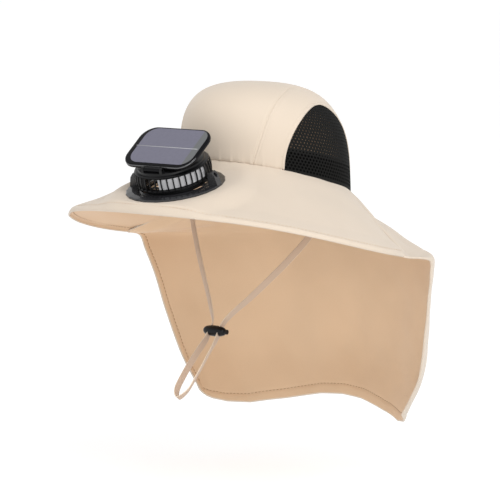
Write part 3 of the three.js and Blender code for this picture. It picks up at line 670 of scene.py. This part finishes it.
# Slow unevenness of the cloth
def slack(x, y, size, seed):
    a, b, c = seed
    slow = np.sin(4.1 * x + a) * np.cos(3.3 * y + b)
    return size * (slow + 0.7 * np.sin(6.7 * x - 5.2 * y + c) + 0.4 * np.cos(11.3 * x + 9.1 * y + a))


def smooth_seam(share):
    places = np.linspace(0, 1, 801)
    half, _ = seam_on_disc(places)
    kernel = np.hanning(41)
    kernel /= kernel.sum()
    padded = np.pad(half, 20, mode="edge")
    eased = np.convolve(padded, kernel, mode="valid")
    return np.interp(share, places, eased)


def crown_piece(name, x, y, seam_distance, edge_distance=None):
    points = crown_point(x, y)
    normals = crown_normal(x, y)
    height = np.clip((1 - np.hypot(x, y)) * PROFILE_LENGTH, 0, None)
    lift = base_gathers(np.arctan2(y, x), height)
    lift = lift - 0.7 * dent(seam_distance, 1.1) - 0.3 * dent(seam_distance - 2.6, 0.8)
    lift = lift + slack(x, y, 0.35, (0.3, 1.1, 2.0))
    if edge_distance is not None:
        lift = lift + 0.7 * dent(edge_distance, 2.5) - 0.35 * dent(edge_distance - 3.2, 0.9)
    # The crown's inside face takes the painted shade
    return cloth(name, points + normals * lift[..., None], normals, CROWN_WALL, outer_cloth, crown_inside_painted_shade)


def denser_ends(count, ends, share):
    inner = np.linspace(ends, 1 - ends, count)
    edge = np.linspace(0, ends, int(count * share))[:-1]
    return np.concatenate([edge, inner, 1 - edge[::-1]])


def add_crown():
    v = denser_ends(170, 0.04, 0.12)
    end = SEAM_HALF[-1]
    grid_u, grid_v = crossed(denser_ends(70, 0.05, 0.2) * 2 - 1, v)
    _, y = seam_on_disc(grid_v)
    half = smooth_seam(grid_v)
    bow = np.sqrt(1 - (grid_u * end) ** 2) / math.sqrt(1 - end**2)
    x = grid_u * (half - CLEARANCE / 2 / PROFILE_LENGTH)
    gap = (1 - np.abs(grid_u)) * half * PROFILE_LENGTH
    crown_piece("crown_centre_cloth", x, y * bow, gap)
    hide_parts("crown_centre_panel")
    for side, word in ((1, "left"), (-1, "right")):
        grid_u, grid_v = crossed(denser_ends(26, 0.12, 0.5), v)
        _, y = seam_on_disc(grid_v)
        x = smooth_seam(grid_v) + CLEARANCE / 2 / PROFILE_LENGTH
        outer_angle = np.arctan2(y, x)
        outer_share = np.clip(1 - np.hypot(x, y), 0, None)
        inner_angle, inner_share = vent_arch(grid_v, CLEARANCE)
        angle = outer_angle + (inner_angle - outer_angle) * grid_u
        share = outer_share + (inner_share - outer_share) * grid_u
        share = np.where((grid_v <= 0) | (grid_v >= 1), 0.0, share)
        px = side * (1 - share) * np.cos(angle)
        py = (1 - share) * np.sin(angle)
        points = crown_point(px, py)
        spans = np.linalg.norm(np.diff(points, axis=0), axis=2)
        from_seam = np.concatenate([np.zeros((1, len(v))), np.cumsum(spans, axis=0)])
        piece = crown_piece(f"crown_side_cloth_{word}", px, py, from_seam, from_seam[-1] - from_seam)
        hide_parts(f"crown_side_{word}")


# Fine net of each vent: six-sided cells with a hole in each, and a solid border at the foot
def add_vent(side, word):
    size = NET_PITCH / math.sqrt(3)
    vertices, faces, uvs, shared = [], [], [], {}

    def place(a, b):
        key = (round(a, 2), round(b, 2))
        if key not in shared:
            angle, share = VENT_TURN + a / HEAD_MEAN, b / PROFILE_LENGTH
            x = np.array(side * (1 - share) * math.cos(angle))
            y = np.array((1 - share) * math.sin(angle))
            shared[key] = len(vertices)
            vertices.append(crown_point(x, y) - crown_normal(x, y) * NET_DEPTH)
            uvs.append((a, b))
        return shared[key]

    half_width = VENT_HALF_ANGLE * HEAD_MEAN
    height = VENT_RISE * PROFILE_LENGTH
    corners = [math.radians(60 * k + 30) for k in range(6)]
    across = int(half_width / NET_PITCH)
    for row in range(int(height / (size * 1.5)) + 3):
        b = row * size * 1.5
        offset = NET_PITCH / 2 if row % 2 else 0
        for column in range(-across - 2, across + 3):
            a = column * NET_PITCH + offset
            inside = (abs(a) / (half_width + 1.5)) ** VENT_ARCH + (b / (height + 1.5)) ** VENT_ARCH
            if inside > 1:
                continue
            outer = [place(a + size * math.cos(t), b + size * math.sin(t)) for t in corners]
            if b < NET_BORDER:
                faces.append(tuple(outer))
                continue
            hole = NET_HOLE_LOW if b < BAND_HEIGHT - 1 else NET_HOLE_HIGH
            inner = [place(a + size * hole * math.cos(t), b + size * hole * math.sin(t)) for t in corners]
            for k in range(6):
                n = (k + 1) % 6
                faces.append((outer[k], outer[n], inner[n], inner[k]))
    piece = make_object(f"vent_net_{word}", vertices, faces, [net_black], None, uvs, smooth=False)
    thick = piece.modifiers.new("thickness", "SOLIDIFY")
    thick.thickness = NET_WALL * MM
    thick.offset = 0
    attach(piece, "hat")
    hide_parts(f"mesh_vent_{word}")


def add_sweatband():
    angle = around_turn(180)
    rise = np.linspace(0.6, BAND_HEIGHT, 14)
    grid_a, grid_r = crossed(angle, rise)
    share = grid_r / PROFILE_LENGTH
    x, y = (1 - share) * np.cos(grid_a), (1 - share) * np.sin(grid_a)
    normals = crown_normal(x, y)
    puff = 0.25 * np.sin(grid_r / BAND_HEIGHT * math.pi)
    points = crown_point(x, y) - normals * (CROWN_WALL + 0.7 - puff[..., None])
    piece = cloth("sweatband_cloth", points, normals, 1.5, band_black, band_black, closed=True)
    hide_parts("sweatband")


# Brim
def crown_foot(angle):
    x, y = np.cos(angle), np.sin(angle)
    point = crown_point(x, y) - crown_normal(x, y) * CROWN_WALL
    point[..., 2] -= CLEARANCE
    return point


def brim_edge(angle):
    half_length = HEAD_HALF_LENGTH + BRIM_FRONT_WIDTH - BRIM_WIDEST_FORWARD
    x = (HEAD_HALF_WIDTH + BRIM_SIDE_WIDTH) * np.cos(angle)
    y = half_length * np.sin(angle) - BRIM_WIDEST_FORWARD
    rise = -EDGE_FRONT_RISE * np.sin(angle) - EDGE_SIDE_DROOP * np.cos(2 * angle)
    return np.stack([x, y, rise - EDGE_RIPPLE * np.cos(4 * angle) - EDGE_DROP], axis=-1)


def to_fan(points):
    return turn_x(points - FAN_CENTRE, -FAN_TILT)


def from_fan(local):
    return turn_x(local, FAN_TILT) + FAN_CENTRE


def open_brim(u, v):
    inner = -math.pi - BRIM_INNER_END + u * (math.pi + 2 * BRIM_INNER_END)
    outer = -math.pi - BRIM_OUTER_END + u * (math.pi + 2 * BRIM_OUTER_END)
    foot, edge = crown_foot(inner), brim_edge(outer)
    return foot + (edge - foot) * v[..., None]


def brim_span(u):
    return np.linalg.norm(open_brim(u, np.ones_like(u)) - open_brim(u, np.zeros_like(u)), axis=-1)


def brim_surface(u, v):
    points = open_brim(u, v)
    span = brim_span(u)
    from_edge = (1 - v) * span
    points[..., 2] += BRIM_PUFF * ease(-from_edge, -34, -BRIM_ROLL)
    local = to_fan(points)
    reach = np.hypot(local[..., 0], local[..., 1])
    seat = FLANGE_RADIUS + SEAT_MARGIN
    held = 1 - ease(reach, FLANGE_RADIUS + SEAT_MARGIN * 0.4, seat + SEAT_BLEND)
    free = np.clip(v / 0.07, 0, 1) * np.clip((1 - v) / 0.07, 0, 1)
    local[..., 2] += (-CLEARANCE - local[..., 2]) * held * free
    points = from_fan(local)
    turn = np.clip(1 - from_edge / BRIM_ROLL, 0, 1) * math.pi / 2
    radius = BRIM_ROLL * 2 / math.pi
    unrolled = np.clip(v, None, 1 - BRIM_ROLL / span)
    way = unit(open_brim(u, unrolled) - open_brim(u, unrolled - 0.01))
    rolled = from_edge < BRIM_ROLL
    shift_out = (radius * np.sin(turn) - (BRIM_ROLL - from_edge)) * rolled
    shift_down = radius * (1 - np.cos(turn)) * rolled
    points = points + way * shift_out[..., None]
    points[..., 2] -= shift_down
    return points


def add_brim():
    u = np.linspace(0, 1, 261)
    v = stretches((0, 0.08, 7), (0.08, 0.9, 44), (0.9, 1, 22))
    grid_u, grid_v = crossed(u, v)
    points = brim_surface(grid_u, grid_v)
    normals = surface_normals(brim_surface, grid_u, grid_v, 8e-4)
    if normals[len(u) // 2, 5, 2] < 0:
        normals = -normals
    span = brim_span(u)[:, None]
    from_edge = (1 - grid_v) * span
    from_end = np.minimum(grid_u, 1 - grid_u) * BRIM_ROUND
    lift = -BRIM_GROOVE * dent(from_edge - BRIM_STITCHES, 0.9)
    lift = lift + slack(points[..., 0] / 60, points[..., 1] / 60, 0.3, (0.5, 0.2, 1.4))
    lift = lift - 0.6 * dent(from_end, 1.2)
    local = to_fan(points)
    reach = np.hypot(local[..., 0], local[..., 1])
    lift = lift * ease(reach, FLANGE_RADIUS + 2, FLANGE_RADIUS + 12)
    vertex_open = reach < THROAT_RADIUS + 1.5
    cell_open = vertex_open[:-1, :-1] | vertex_open[1:, :-1] | vertex_open[:-1, 1:] | vertex_open[1:, 1:]
    points = points + normals * lift[..., None]
    # The brim's underside takes the painted shade tan
    piece = cloth("brim_cloth", points, normals, BRIM_CLOTH, outer_cloth, under_cloth_painted_shade, ~cell_open)
    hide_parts("front_brim")
    line_v = 1 - BRIM_STITCHES / span[:, 0]
    line = brim_surface(u, line_v)
    line_normals = surface_normals(brim_surface, u, line_v, 8e-4)
    if line_normals[len(u) // 2, 2] < 0:
        line_normals = -line_normals
    stitches("brim_edge_stitches", line - line_normals * BRIM_GROOVE, line_normals, thread_light)
    under = line - line_normals * (BRIM_CLOTH + 0.1)
    stitches("brim_under_stitches", under, -line_normals, thread_dark)


# Neck flap
def flap_rows(u):
    rear_foot = crown_foot(np.array(math.pi / 2))
    rows = []
    for seam, out, down in FLAP_SEAM_ROWS:
        front = open_brim(np.array(1.0), np.array(seam))
        rear = rear_foot[1] + (FLAP_SHOULDER_REAR - rear_foot[1]) * out
        rear_z = rear_foot[2] + (-FLAP_SHOULDER_DROP - rear_foot[2]) * down
        rows.append((front, rear, rear_z, 0.0))
    for side, ahead, drop, rear, rear_drop, hem in FLAP_FREE_ROWS:
        front = np.array([side * FLAP_HALF_WIDTH, ahead * FLAP_REAR, -drop * FLAP_LENGTH])
        rows.append((front, rear * FLAP_REAR, -rear_drop * FLAP_LENGTH, hem))
    lines = []
    for front, rear, rear_z, hem in rows:
        start = math.asin(front[1] / rear)
        half_width = front[0] / math.cos(start)
        shift = FLAP_SEAM_GAP / half_width
        angle = start + shift + (math.pi - 2 * (start + shift)) * u
        y = rear * np.sin(angle)
        z = front[2] + (rear_z - front[2]) * (y - front[1]) / (rear - front[1])
        z = z - np.interp(u, HEM_AT, HEM_DROP) * FLAP_LENGTH * hem
        lines.append(np.stack([half_width * np.cos(angle), y, z], axis=-1))
    return np.stack(lines, axis=1)


# Points along a smooth curve through each column's rows
def spline_rows(lines, places):
    steps = np.linalg.norm(np.diff(lines, axis=1), axis=2).mean(axis=0)
    knots = running(steps)
    knots /= knots[-1]
    slope = np.gradient(lines, knots, axis=1)
    index = np.clip(np.searchsorted(knots, places, side="right") - 1, 0, len(knots) - 2)
    width = (knots[index + 1] - knots[index])[None, :, None]
    t = ((places - knots[index]) / (knots[index + 1] - knots[index]))[None, :, None]
    p0, p1 = lines[:, index], lines[:, index + 1]
    m0, m1 = slope[:, index] * width, slope[:, index + 1] * width
    a, b = 2 * t**3 - 3 * t**2 + 1, t**3 - 2 * t**2 + t
    c, d = -2 * t**3 + 3 * t**2, t**3 - t**2
    return a * p0 + b * m0 + c * p1 + d * m1, knots


def at_distance(place, distances, vectors):
    return np.array([at_place(place, d, v) for d, v in zip(distances, vectors)])


def add_flap():
    u = stretches((0, 0.03, 14), (0.03, 0.97, 190), (0.97, 1, 14))
    v = stretches((0, 0.93, 110), (0.93, 1, 20))
    lines = flap_rows(u)
    points, knots = spline_rows(lines, v)
    d_u = np.gradient(points, u, axis=0)
    d_v = np.gradient(points, v, axis=1)
    normals = unit(np.cross(d_v, d_u))
    if normals[len(u) // 2, len(v) // 2, 1] < 0:
        normals = -normals
    length = np.linalg.norm(np.diff(points, axis=1), axis=2).sum(axis=1)[:, None]
    width = np.linalg.norm(np.diff(points, axis=0), axis=2).sum(axis=0)[None, :]
    grid_u, grid_v = crossed(u, v)
    from_bottom = (1 - grid_v) * length
    from_side = np.minimum(grid_u, 1 - grid_u) * width
    seam_end = knots[len(FLAP_SEAM_ROWS)]
    free = ease(grid_v, seam_end - 0.02, seam_end + 0.02)
    folds = 2.4 * np.sin(grid_u * 19 + 0.9 * np.sin(grid_v * 5)) + 1.6 * np.sin(grid_u * 33 + 2 + grid_v * 3)
    lift = folds * ease(grid_v, 0.4, 0.75) * (1 - 0.6 * ease(grid_v, 0.8, 1.0))
    lift = lift * np.clip(from_side / 60, 0, 1)
    lift = lift + slack(points[..., 0] / 70, points[..., 2] / 70, 0.4, (1.5, 0.9, 0.4))
    groove = 0.4 * np.maximum(dent(from_bottom - BOTTOM_HEM, 1.0), dent(from_side - FREE_HEM, 1.0) * free)
    bottom_puff = ease(-from_bottom, -BOTTOM_HEM, -BOTTOM_HEM * 0.6)
    side_puff = ease(-from_side, -FREE_HEM, -FREE_HEM * 0.6) * free
    hem_puff = 0.45 * np.maximum(bottom_puff, side_puff)
    seam_dip = 0.5 * dent(from_side, 1.2) * (1 - free)
    shoulder = ease(grid_v, 0.02, seam_end * 0.45) * (1 - ease(grid_v, seam_end * 0.72, seam_end + 0.02))
    sag = SHOULDER_SAG * shoulder * ease(from_side, 2, 26) * (1 - ease(from_side, 60, 120))
    points = points + normals * (lift - groove + hem_puff - seam_dip - sag)[..., None]
    wall = FLAP_WALL - 2 * groove + 2 * hem_puff
    # The flap's inside takes the painted shade tan
    piece = cloth("flap_cloth", points, normals, wall, outer_cloth, flap_inside_painted_shade)
    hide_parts("neck_flap")
    inner = points - normals * wall[..., None]
    line = at_distance(BOTTOM_HEM, from_bottom[:, ::-1], inner[:, ::-1])
    line_normals = at_distance(BOTTOM_HEM, from_bottom[:, ::-1], normals[:, ::-1])
    keep = slice(8, -8)
    stitches("flap_hem_stitches", line[keep], -unit(line_normals[keep]), thread_dark)
    rows = slice(int(np.searchsorted(v, seam_end)) + 1, int(np.searchsorted(v, 0.965)))
    for word, order in (("left", 1), ("right", -1)):
        near = [grid[::order][: len(u) // 3, rows].swapaxes(0, 1) for grid in (from_side, inner, normals)]
        line = at_distance(FREE_HEM, near[0], near[1])
        line_normals = at_distance(FREE_HEM, near[0], near[2])
        stitches(f"flap_side_stitches_{word}", line, -unit(line_normals), thread_dark)
    span = np.linalg.norm(np.diff(points[:, -1], axis=0), axis=1).sum()
    return piece, span, float(length.mean())


# Chin strap
def strap_route():
    left = [np.array(p, dtype=float) for p in STRAP_ROUTE]
    right = [p * np.array([-1, 1, 1]) for p in left[:-1]][::-1]
    return np.array(left + right)


def between(t, start, end, a, b):
    return (end - t) / (end - start) * a + (t - start) / (end - start) * b


# A smooth line through the given points
def through(points, per_span):
    padded = np.concatenate([[2 * points[0] - points[1]], points, [2 * points[-1] - points[-2]]])
    out = []
    for k in range(len(points) - 1):
        p0, p1, p2, p3 = padded[k : k + 4]
        spans = np.linalg.norm(np.diff(padded[k : k + 4], axis=0), axis=1) ** 0.5
        t0, t1, t2, t3 = running(spans)
        for share in np.arange(per_span) / per_span:
            t = t1 + (t2 - t1) * share
            a1, a2, a3 = between(t, t0, t1, p0, p1), between(t, t1, t2, p1, p2), between(t, t2, t3, p2, p3)
            b1, b2 = between(t, t0, t2, a1, a2), between(t, t1, t3, a2, a3)
            out.append(between(t, t1, t2, b1, b2))
    out.append(points[-1])
    return np.array(out)


def add_strap():
    line = through(strap_route(), 10)
    tangent = unit(np.gradient(line, axis=0))
    left = np.interp(line[:, 2], TURN_AT, TURN_LEFT)
    right = np.interp(line[:, 2], TURN_AT, TURN_RIGHT)
    turn = np.where(line[:, 0] > 0, left, right) * line[:, 0]
    lean = turn_x(np.broadcast_to(Y_AXIS, line.shape), -LOCK_LEAN)
    across = np.column_stack([turn, lean[:, 1:]])
    across = unit(across - tangent * np.einsum("ij,ij->i", across, tangent)[:, None])
    flat = np.cross(tangent, across)
    w, t = STRAP_WIDTH / 2, STRAP_THICKNESS / 2
    upper = [(-w, 0), (-w + t * 0.3, t * 0.75), (-w + t, t)]
    upper += [(0, t * 0.9), (w - t, t), (w - t * 0.3, t * 0.75)]
    section = upper + [(-a, -b) for a, b in upper]
    count = len(section)
    vertices, faces = swept(line, across, flat, section)
    length = running(np.linalg.norm(np.diff(line, axis=0), axis=1))
    around = np.linspace(0, 2 * STRAP_WIDTH, count)
    uvs = np.stack(np.broadcast_arrays(around[None, :], length[:, None]), axis=-1).reshape(-1, 2)
    # Narrow sides take the lighter painted highlight, flat faces the darker painted shade
    narrow = (0, 5, 6, 11)
    indices = [int(m in narrow) for m in range(count)] * (len(line) - 1) + [1, 1]
    piece = make_object("strap_ribbon", vertices, faces, [strap_face_painted_shade, strap_edge_painted_highlight], indices, uvs)
    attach(piece, "hat")
    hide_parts("chin_strap")


add_strap()
add_crown()
add_vent(1, "left")
add_vent(-1, "right")
add_sweatband()
add_brim()
flap_piece, flap_width, flap_height = add_flap()


# Fan head
def from_head(points):
    return from_fan(turn_x(np.asarray(points, dtype=float), HEAD_TILT) + np.array([0, 0, HEAD_LIFT]))


def from_panel(points):
    hinge = np.array([0, -HINGE_FORWARD, CAGE_TOP + CAP_HEIGHT + HINGE_LIFT])
    return from_head(turn_x(np.asarray(points, dtype=float), PANEL_OPEN) + hinge)


# Rounded bars of the drum between its foot ring and its lid
def cage_bars():
    parts = []
    rise = np.linspace(CAGE_FOOT + 1.2, CAGE_TOP - 1.6, 9)
    share = (rise - rise[0]) / (rise[-1] - rise[0])
    radius = CAGE_RADIUS - 1.5 + 1.3 * np.sin(math.pi * (0.12 + 0.76 * share))
    for k in range(BAR_COUNT):
        angle = 2 * math.pi * (k + 0.5) / BAR_COUNT
        out = np.broadcast_to([math.cos(angle), math.sin(angle), 0.0], (len(rise), 3))
        side = np.broadcast_to([-math.sin(angle), math.cos(angle), 0.0], (len(rise), 3))
        line = out * radius[:, None] + np.stack([rise * 0, rise * 0, rise], axis=1)
        parts.append(swept(line, side, out, rounded_bar(0.75, 0.7)))
    return parts


# Trunnions and their pads, on a line turned a little from side to side
def trunnions():
    parts = []
    along = np.array([math.cos(TRUNNION_TURN), math.sin(TRUNNION_TURN), 0.0])
    side = np.array([-along[1], along[0], 0.0])
    lift = Z_AXIS * TRUNNION_LIFT
    pin = (TRUNNION_END, circle(TRUNNION_RADIUS, 20))
    pad = (TRUNNION_PAD_END, box(TRUNNION_PAD_HALF, TRUNNION_PAD_HALF))
    for way in (-1, 1):
        for end, section in (pin, pad):
            start = along * way * TRUNNION_START
            vertices, faces = straight(start + lift, along * way * end + lift, side, Z_AXIS, section)
            parts.append((from_fan(vertices), faces))
    return parts


# Half-round ears of the lid that hold the panel's pin
def hinge_ears():
    cap = CAGE_TOP + CAP_HEIGHT
    foot = -0.6 - HINGE_LIFT
    ring = [(HINGE_RADIUS * math.cos(t), HINGE_RADIUS * math.sin(t)) for t in np.linspace(0, math.pi, 13)]
    section = [(-HINGE_RADIUS, foot)] + ring[::-1] + [(HINGE_RADIUS, foot)]
    spot = np.array([0, -HINGE_FORWARD, cap + HINGE_LIFT])
    ears = []
    for way in (-1, 1):
        middle = spot + X_AXIS * way * (HINGE_MIDDLE + CLEARANCE + HINGE_EAR / 2)
        half = X_AXIS * HINGE_EAR / 2
        ears.append(straight(middle - half, middle + half, Y_AXIS, Z_AXIS, section))
    return ears


def add_cage():
    foot, top, cap = CAGE_FOOT, CAGE_TOP, CAGE_TOP + CAP_HEIGHT
    skirt, cage, lid_edge = SKIRT_RADIUS, CAGE_RADIUS, CAP_RADIUS
    skirt_part = [(skirt - 1.3, SKIRT_FOOT), (skirt, SKIRT_FOOT), (skirt, foot - 0.4), (skirt + 1, foot)]
    lower = [(cage - 1.8, foot), (cage - 0.9, foot + 0.5), (cage - 0.7, foot + 1.2), (cage - 1.1, foot + 2.0)]
    foot_ring = turned_ring(skirt_part + lower + [(cage - 2.6, foot + 2.1), (skirt - 1.3, foot + 1.8)])
    under = [(0.01, top - 1.8), (cage - 3.4, top - 1.8), (cage - 2.4, top - 2.2), (cage - 1.2, top - 2.0)]
    edge = [(cage - 0.8, top - 1.2), (cage - 1.4, top - 0.5), (cage - 2.6, top), (lid_edge + 0.4, top)]
    over = [(lid_edge, top + 0.4), (lid_edge - 0.2, cap - 0.7), (lid_edge - 1.2, cap), (0.01, cap)]
    lid = turned_ring(under + edge + over)
    turned = [foot_ring, lid] + cage_bars() + hinge_ears()
    in_head = [(from_head(spots), polygons) for spots, polygons in turned]
    vertices, faces = merged(in_head + trunnions())
    piece = make_object("cage_shell", vertices, faces, [plastic_black])
    finish_hard(piece)
    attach(piece, "fan_head")
    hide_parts("fan_cage")


# Panel: a gloss frame with rounded edges and a painted highlight along its front bevel, a wide border at its
# front and left, and fine lines on the cells
def rounded_outline(width, length, corner, steps=10):
    spots = []
    for k, (sx, sy) in enumerate(((1, 1), (-1, 1), (-1, -1), (1, -1))):
        for t in np.linspace(0, math.pi / 2, steps):
            angle = t + k * math.pi / 2
            x = sx * (width / 2 - corner) + corner * math.cos(angle)
            spots.append((x, sy * (length / 2 - corner) + corner * math.sin(angle)))
    return np.array(spots)


def cell_material():
    material, tree, shader = plain("panel_cells", CELL_HIGH, 0.28, specular=0.5)
    coordinates, split = coordinate_parts(tree, "UV")
    fine = maths(tree, "MULTIPLY", thread_lines(tree, split.outputs["X"], 0.0032), 0.6)
    grain = noise(tree, coordinates.outputs["UV"], 260.0, 3.0)
    tone = maths(tree, "ADD", fine, maths(tree, "MULTIPLY", grain, 0.6))
    cells = blend_colours(tree, tone, CELL_LOW, CELL_HIGH)
    near_end = maths(tree, "GREATER_THAN", split.outputs["X"], CELL_END_PLACE)
    node = blend_colours(tree, near_end, CELL_LOW, CELL_END).node
    tree.links.new(cells, node.inputs["A"])
    tree.links.new(node.outputs["Result"], shader.inputs["Base Color"])
    return material


def add_panel():
    middle = HINGE_RADIUS + 1 + PANEL_LENGTH / 2
    half = PANEL_THICKNESS / 2
    lower = [(1.2, -half), (0.4, -half + 0.3), (0.0, -half + 1.0)]
    upper = [(0.0, half - 1.6), (0.5, half - 0.5), (1.3, half - 0.1), (2.0, half)]
    rings = lower + upper
    outlines = []
    for inset, _ in rings:
        size = (PANEL_WIDTH - 2 * inset, PANEL_LENGTH - 2 * inset)
        outlines.append(rounded_outline(*size, PANEL_CORNER - inset))
    vertices = [(x, y + middle, z) for outline, (_, z) in zip(outlines, rings) for x, y in outline]
    count = len(outlines[0])
    frame_part = (np.array(vertices), tube_faces(count, len(rings)))
    tip = X_AXIS * HINGE_MIDDLE
    barrel = straight(-tip, tip, Y_AXIS, Z_AXIS, circle(HINGE_RADIUS, 20))
    web = straight(-tip, tip, Y_AXIS, Z_AXIS, [(y + WEB_REACH / 2, z) for y, z in box(WEB_REACH / 2, 1.5)])
    vertices, faces = merged([frame_part, barrel, web])
    # Front faces of the lower bevel get the lighter grey: a painted highlight
    lit = [y < -PANEL_LENGTH / 4 for x, y in outlines[0]]
    first = len(lower) * count
    indices = [0] * len(faces)
    indices[first : first + count] = [int(flag) for flag in lit]
    piece = make_object("panel_shell", from_panel(vertices), faces, [panel_gloss, panel_painted_highlight], indices)
    finish_hard(piece)
    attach(piece, "solar_panel")
    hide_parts("panel_frame")
    left, right, front, rear = CELL_MARGINS
    width, length = PANEL_WIDTH - left - right, PANEL_LENGTH - front - rear
    shift = np.array([(left - right) / 2, middle + (front - rear) / 2])
    outline = rounded_outline(width, length, CELL_CORNER) + shift
    low, high = half - 0.2, half + 0.12
    vertices = [(x, y, z) for z in (low, high) for x, y in outline]
    flat = [spot[:2] for spot in vertices]
    faces = tube_faces(count, 2)
    look = [cell_material()]
    cells = make_object("cell_sheet", from_panel(vertices), faces, look, None, flat, smooth=False)
    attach(cells, "solar_panel")
    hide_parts("solar_cells")
    line_y = shift[1] + length * BUSBAR_PLACE
    start = (shift[0] - width / 2 - 1.5, line_y, high)
    end = (shift[0] + width / 2 - 2, line_y, high)
    section = [(-0.38, -0.3), (0.38, -0.3), (0.38, 0.06), (-0.38, 0.06)]
    vertices, faces = straight(start, end, Y_AXIS, Z_AXIS, section)
    busbar = make_object("busbar", from_panel(vertices), faces, [silver_line])
    face_outward(busbar)
    face_outward(cells)
    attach(busbar, "solar_panel")


# Takes a tool's shape out of a piece, for good
def cut_away(piece, vertices, faces):
    tool = make_object("cutter", vertices, faces, [])
    face_outward(tool)
    face_outward(piece)
    cut = piece.modifiers.new("cut", "BOOLEAN")
    cut.operation = "DIFFERENCE"
    cut.object = tool
    ready = piece.evaluated_get(bpy.context.evaluated_depsgraph_get())
    piece.data = bpy.data.meshes.new_from_object(ready)
    piece.modifiers.clear()
    bpy.data.objects.remove(tool)


def from_lock(points):
    return LOCK_CENTRE + turn_x(points, -LOCK_LEAN)


def cut_slot(piece, x):
    middle, half = X_AXIS * x, Z_AXIS * LOCK_SLOT_DEPTH / 2
    section = box(LOCK_SLOT[0] / 2, LOCK_SLOT[1] / 2)
    vertices, faces = straight(middle - half, middle + half, X_AXIS, Y_AXIS, section)
    cut_away(piece, from_lock(vertices), faces)


def cut_well(piece):
    section = circle(WELL_RADIUS, 24)
    vertices, faces = straight(X_AXIS * WELL_START, X_AXIS * WELL_END, Y_AXIS, Z_AXIS, section)
    cut_away(piece, from_lock(vertices), faces)


# A smooth bean-shaped cord lock with a slot for each strand and a well for its button
def add_lock():
    steps, around = 48, 32
    grid_t, grid_f = crossed(np.linspace(0, math.pi, steps), around_turn(around))
    bulge = np.sin(grid_t) ** 0.6
    body = np.stack([-np.cos(grid_t), bulge * np.cos(grid_f), bulge * np.sin(grid_f)], axis=-1)
    vertices = from_lock((body * LOCK_HALF).reshape(-1, 3))
    piece = make_object("lock_shell", vertices, grid_faces(steps, around), [plastic_black])
    for x in (STRAND_OFFSET, -STRAND_OFFSET):
        cut_slot(piece, x)
    cut_well(piece)
    finish_hard(piece)
    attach(piece, "hat")
    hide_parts("cord_lock")


add_cage()
add_panel()
add_lock()


# Hard parts that show as modelled
def finish_node(name, material):
    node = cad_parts[name]
    node.data.materials.clear()
    node.data.materials.append(material)
    node.data.polygons.foreach_set("use_smooth", [True] * len(node.data.polygons))
    node.data.set_sharp_from_angle(angle=SHARP_NODE)


for node_name, node_material in (
    ("fan_flange", plastic_flange),
    ("louvre_plate_left", plastic_grey),
    # The right louvre plate takes the near-black copy of the grey: painted shade
    ("louvre_plate_right", plate_painted_shade),
    ("fan_motor", plastic_grey),
    ("fan_rotor", plastic_black),
    ("clamp_ring", plastic_black),
    ("hinge_pin", steel),
    ("cord_lock_button", plastic_black),
):
    finish_node(node_name, node_material)


# Stage and light: a white floor, and a white horizon under a dimmer sky
def add_stage():
    floor_white = plain("floor_white", (0.5, 0.5, 0.5), 0.9)[0]
    shader = floor_white.node_tree.nodes["Principled BSDF"]
    shader.inputs["Emission Color"].default_value = (1, 1, 1, 1)
    shader.inputs["Emission Strength"].default_value = FLOOR_GLOW
    corners = [(x, y, FLOOR_HEIGHT) for x, y in box(FLOOR_HALF, FLOOR_HALF)]
    make_object("floor", corners, [(0, 1, 2, 3)], [floor_white])
    world = bpy.data.worlds.new("world")
    bpy.context.scene.world = world
    world.use_nodes = True
    tree = world.node_tree
    tree.nodes["Background"].inputs["Color"].default_value = (1, 1, 1, 1)
    _, split = coordinate_parts(tree, "Generated")
    rise = maths(tree, "ABSOLUTE", split.outputs["Z"])
    above = tree.nodes.new("ShaderNodeMapRange")
    for socket, value in (("From Min", SKY_FROM), ("From Max", SKY_TO), ("To Min", HORIZON), ("To Max", SKY)):
        above.inputs[socket].default_value = value
    tree.links.new(rise, above.inputs["Value"])
    tree.links.new(above.outputs["Result"], tree.nodes["Background"].inputs["Strength"])


def add_light(name, place, aim, size, power):
    data = bpy.data.lights.new(name, "AREA")
    data.size = size
    data.energy = power
    light = bpy.data.objects.new(name, data)
    light.location = place
    light.rotation_euler = (Vector(aim) - Vector(place)).to_track_quat("-Z", "Y").to_euler()
    bpy.context.scene.collection.objects.link(light)


add_stage()
add_light("key", (1.75, -1.2, 2.3), (0, 0, 0), 1.4, 52)
add_light("fill", (2.0, -2.0, 0.1), (0, 0, -0.15), 1.6, 15)
bpy.context.scene.view_settings.view_transform = "Standard"
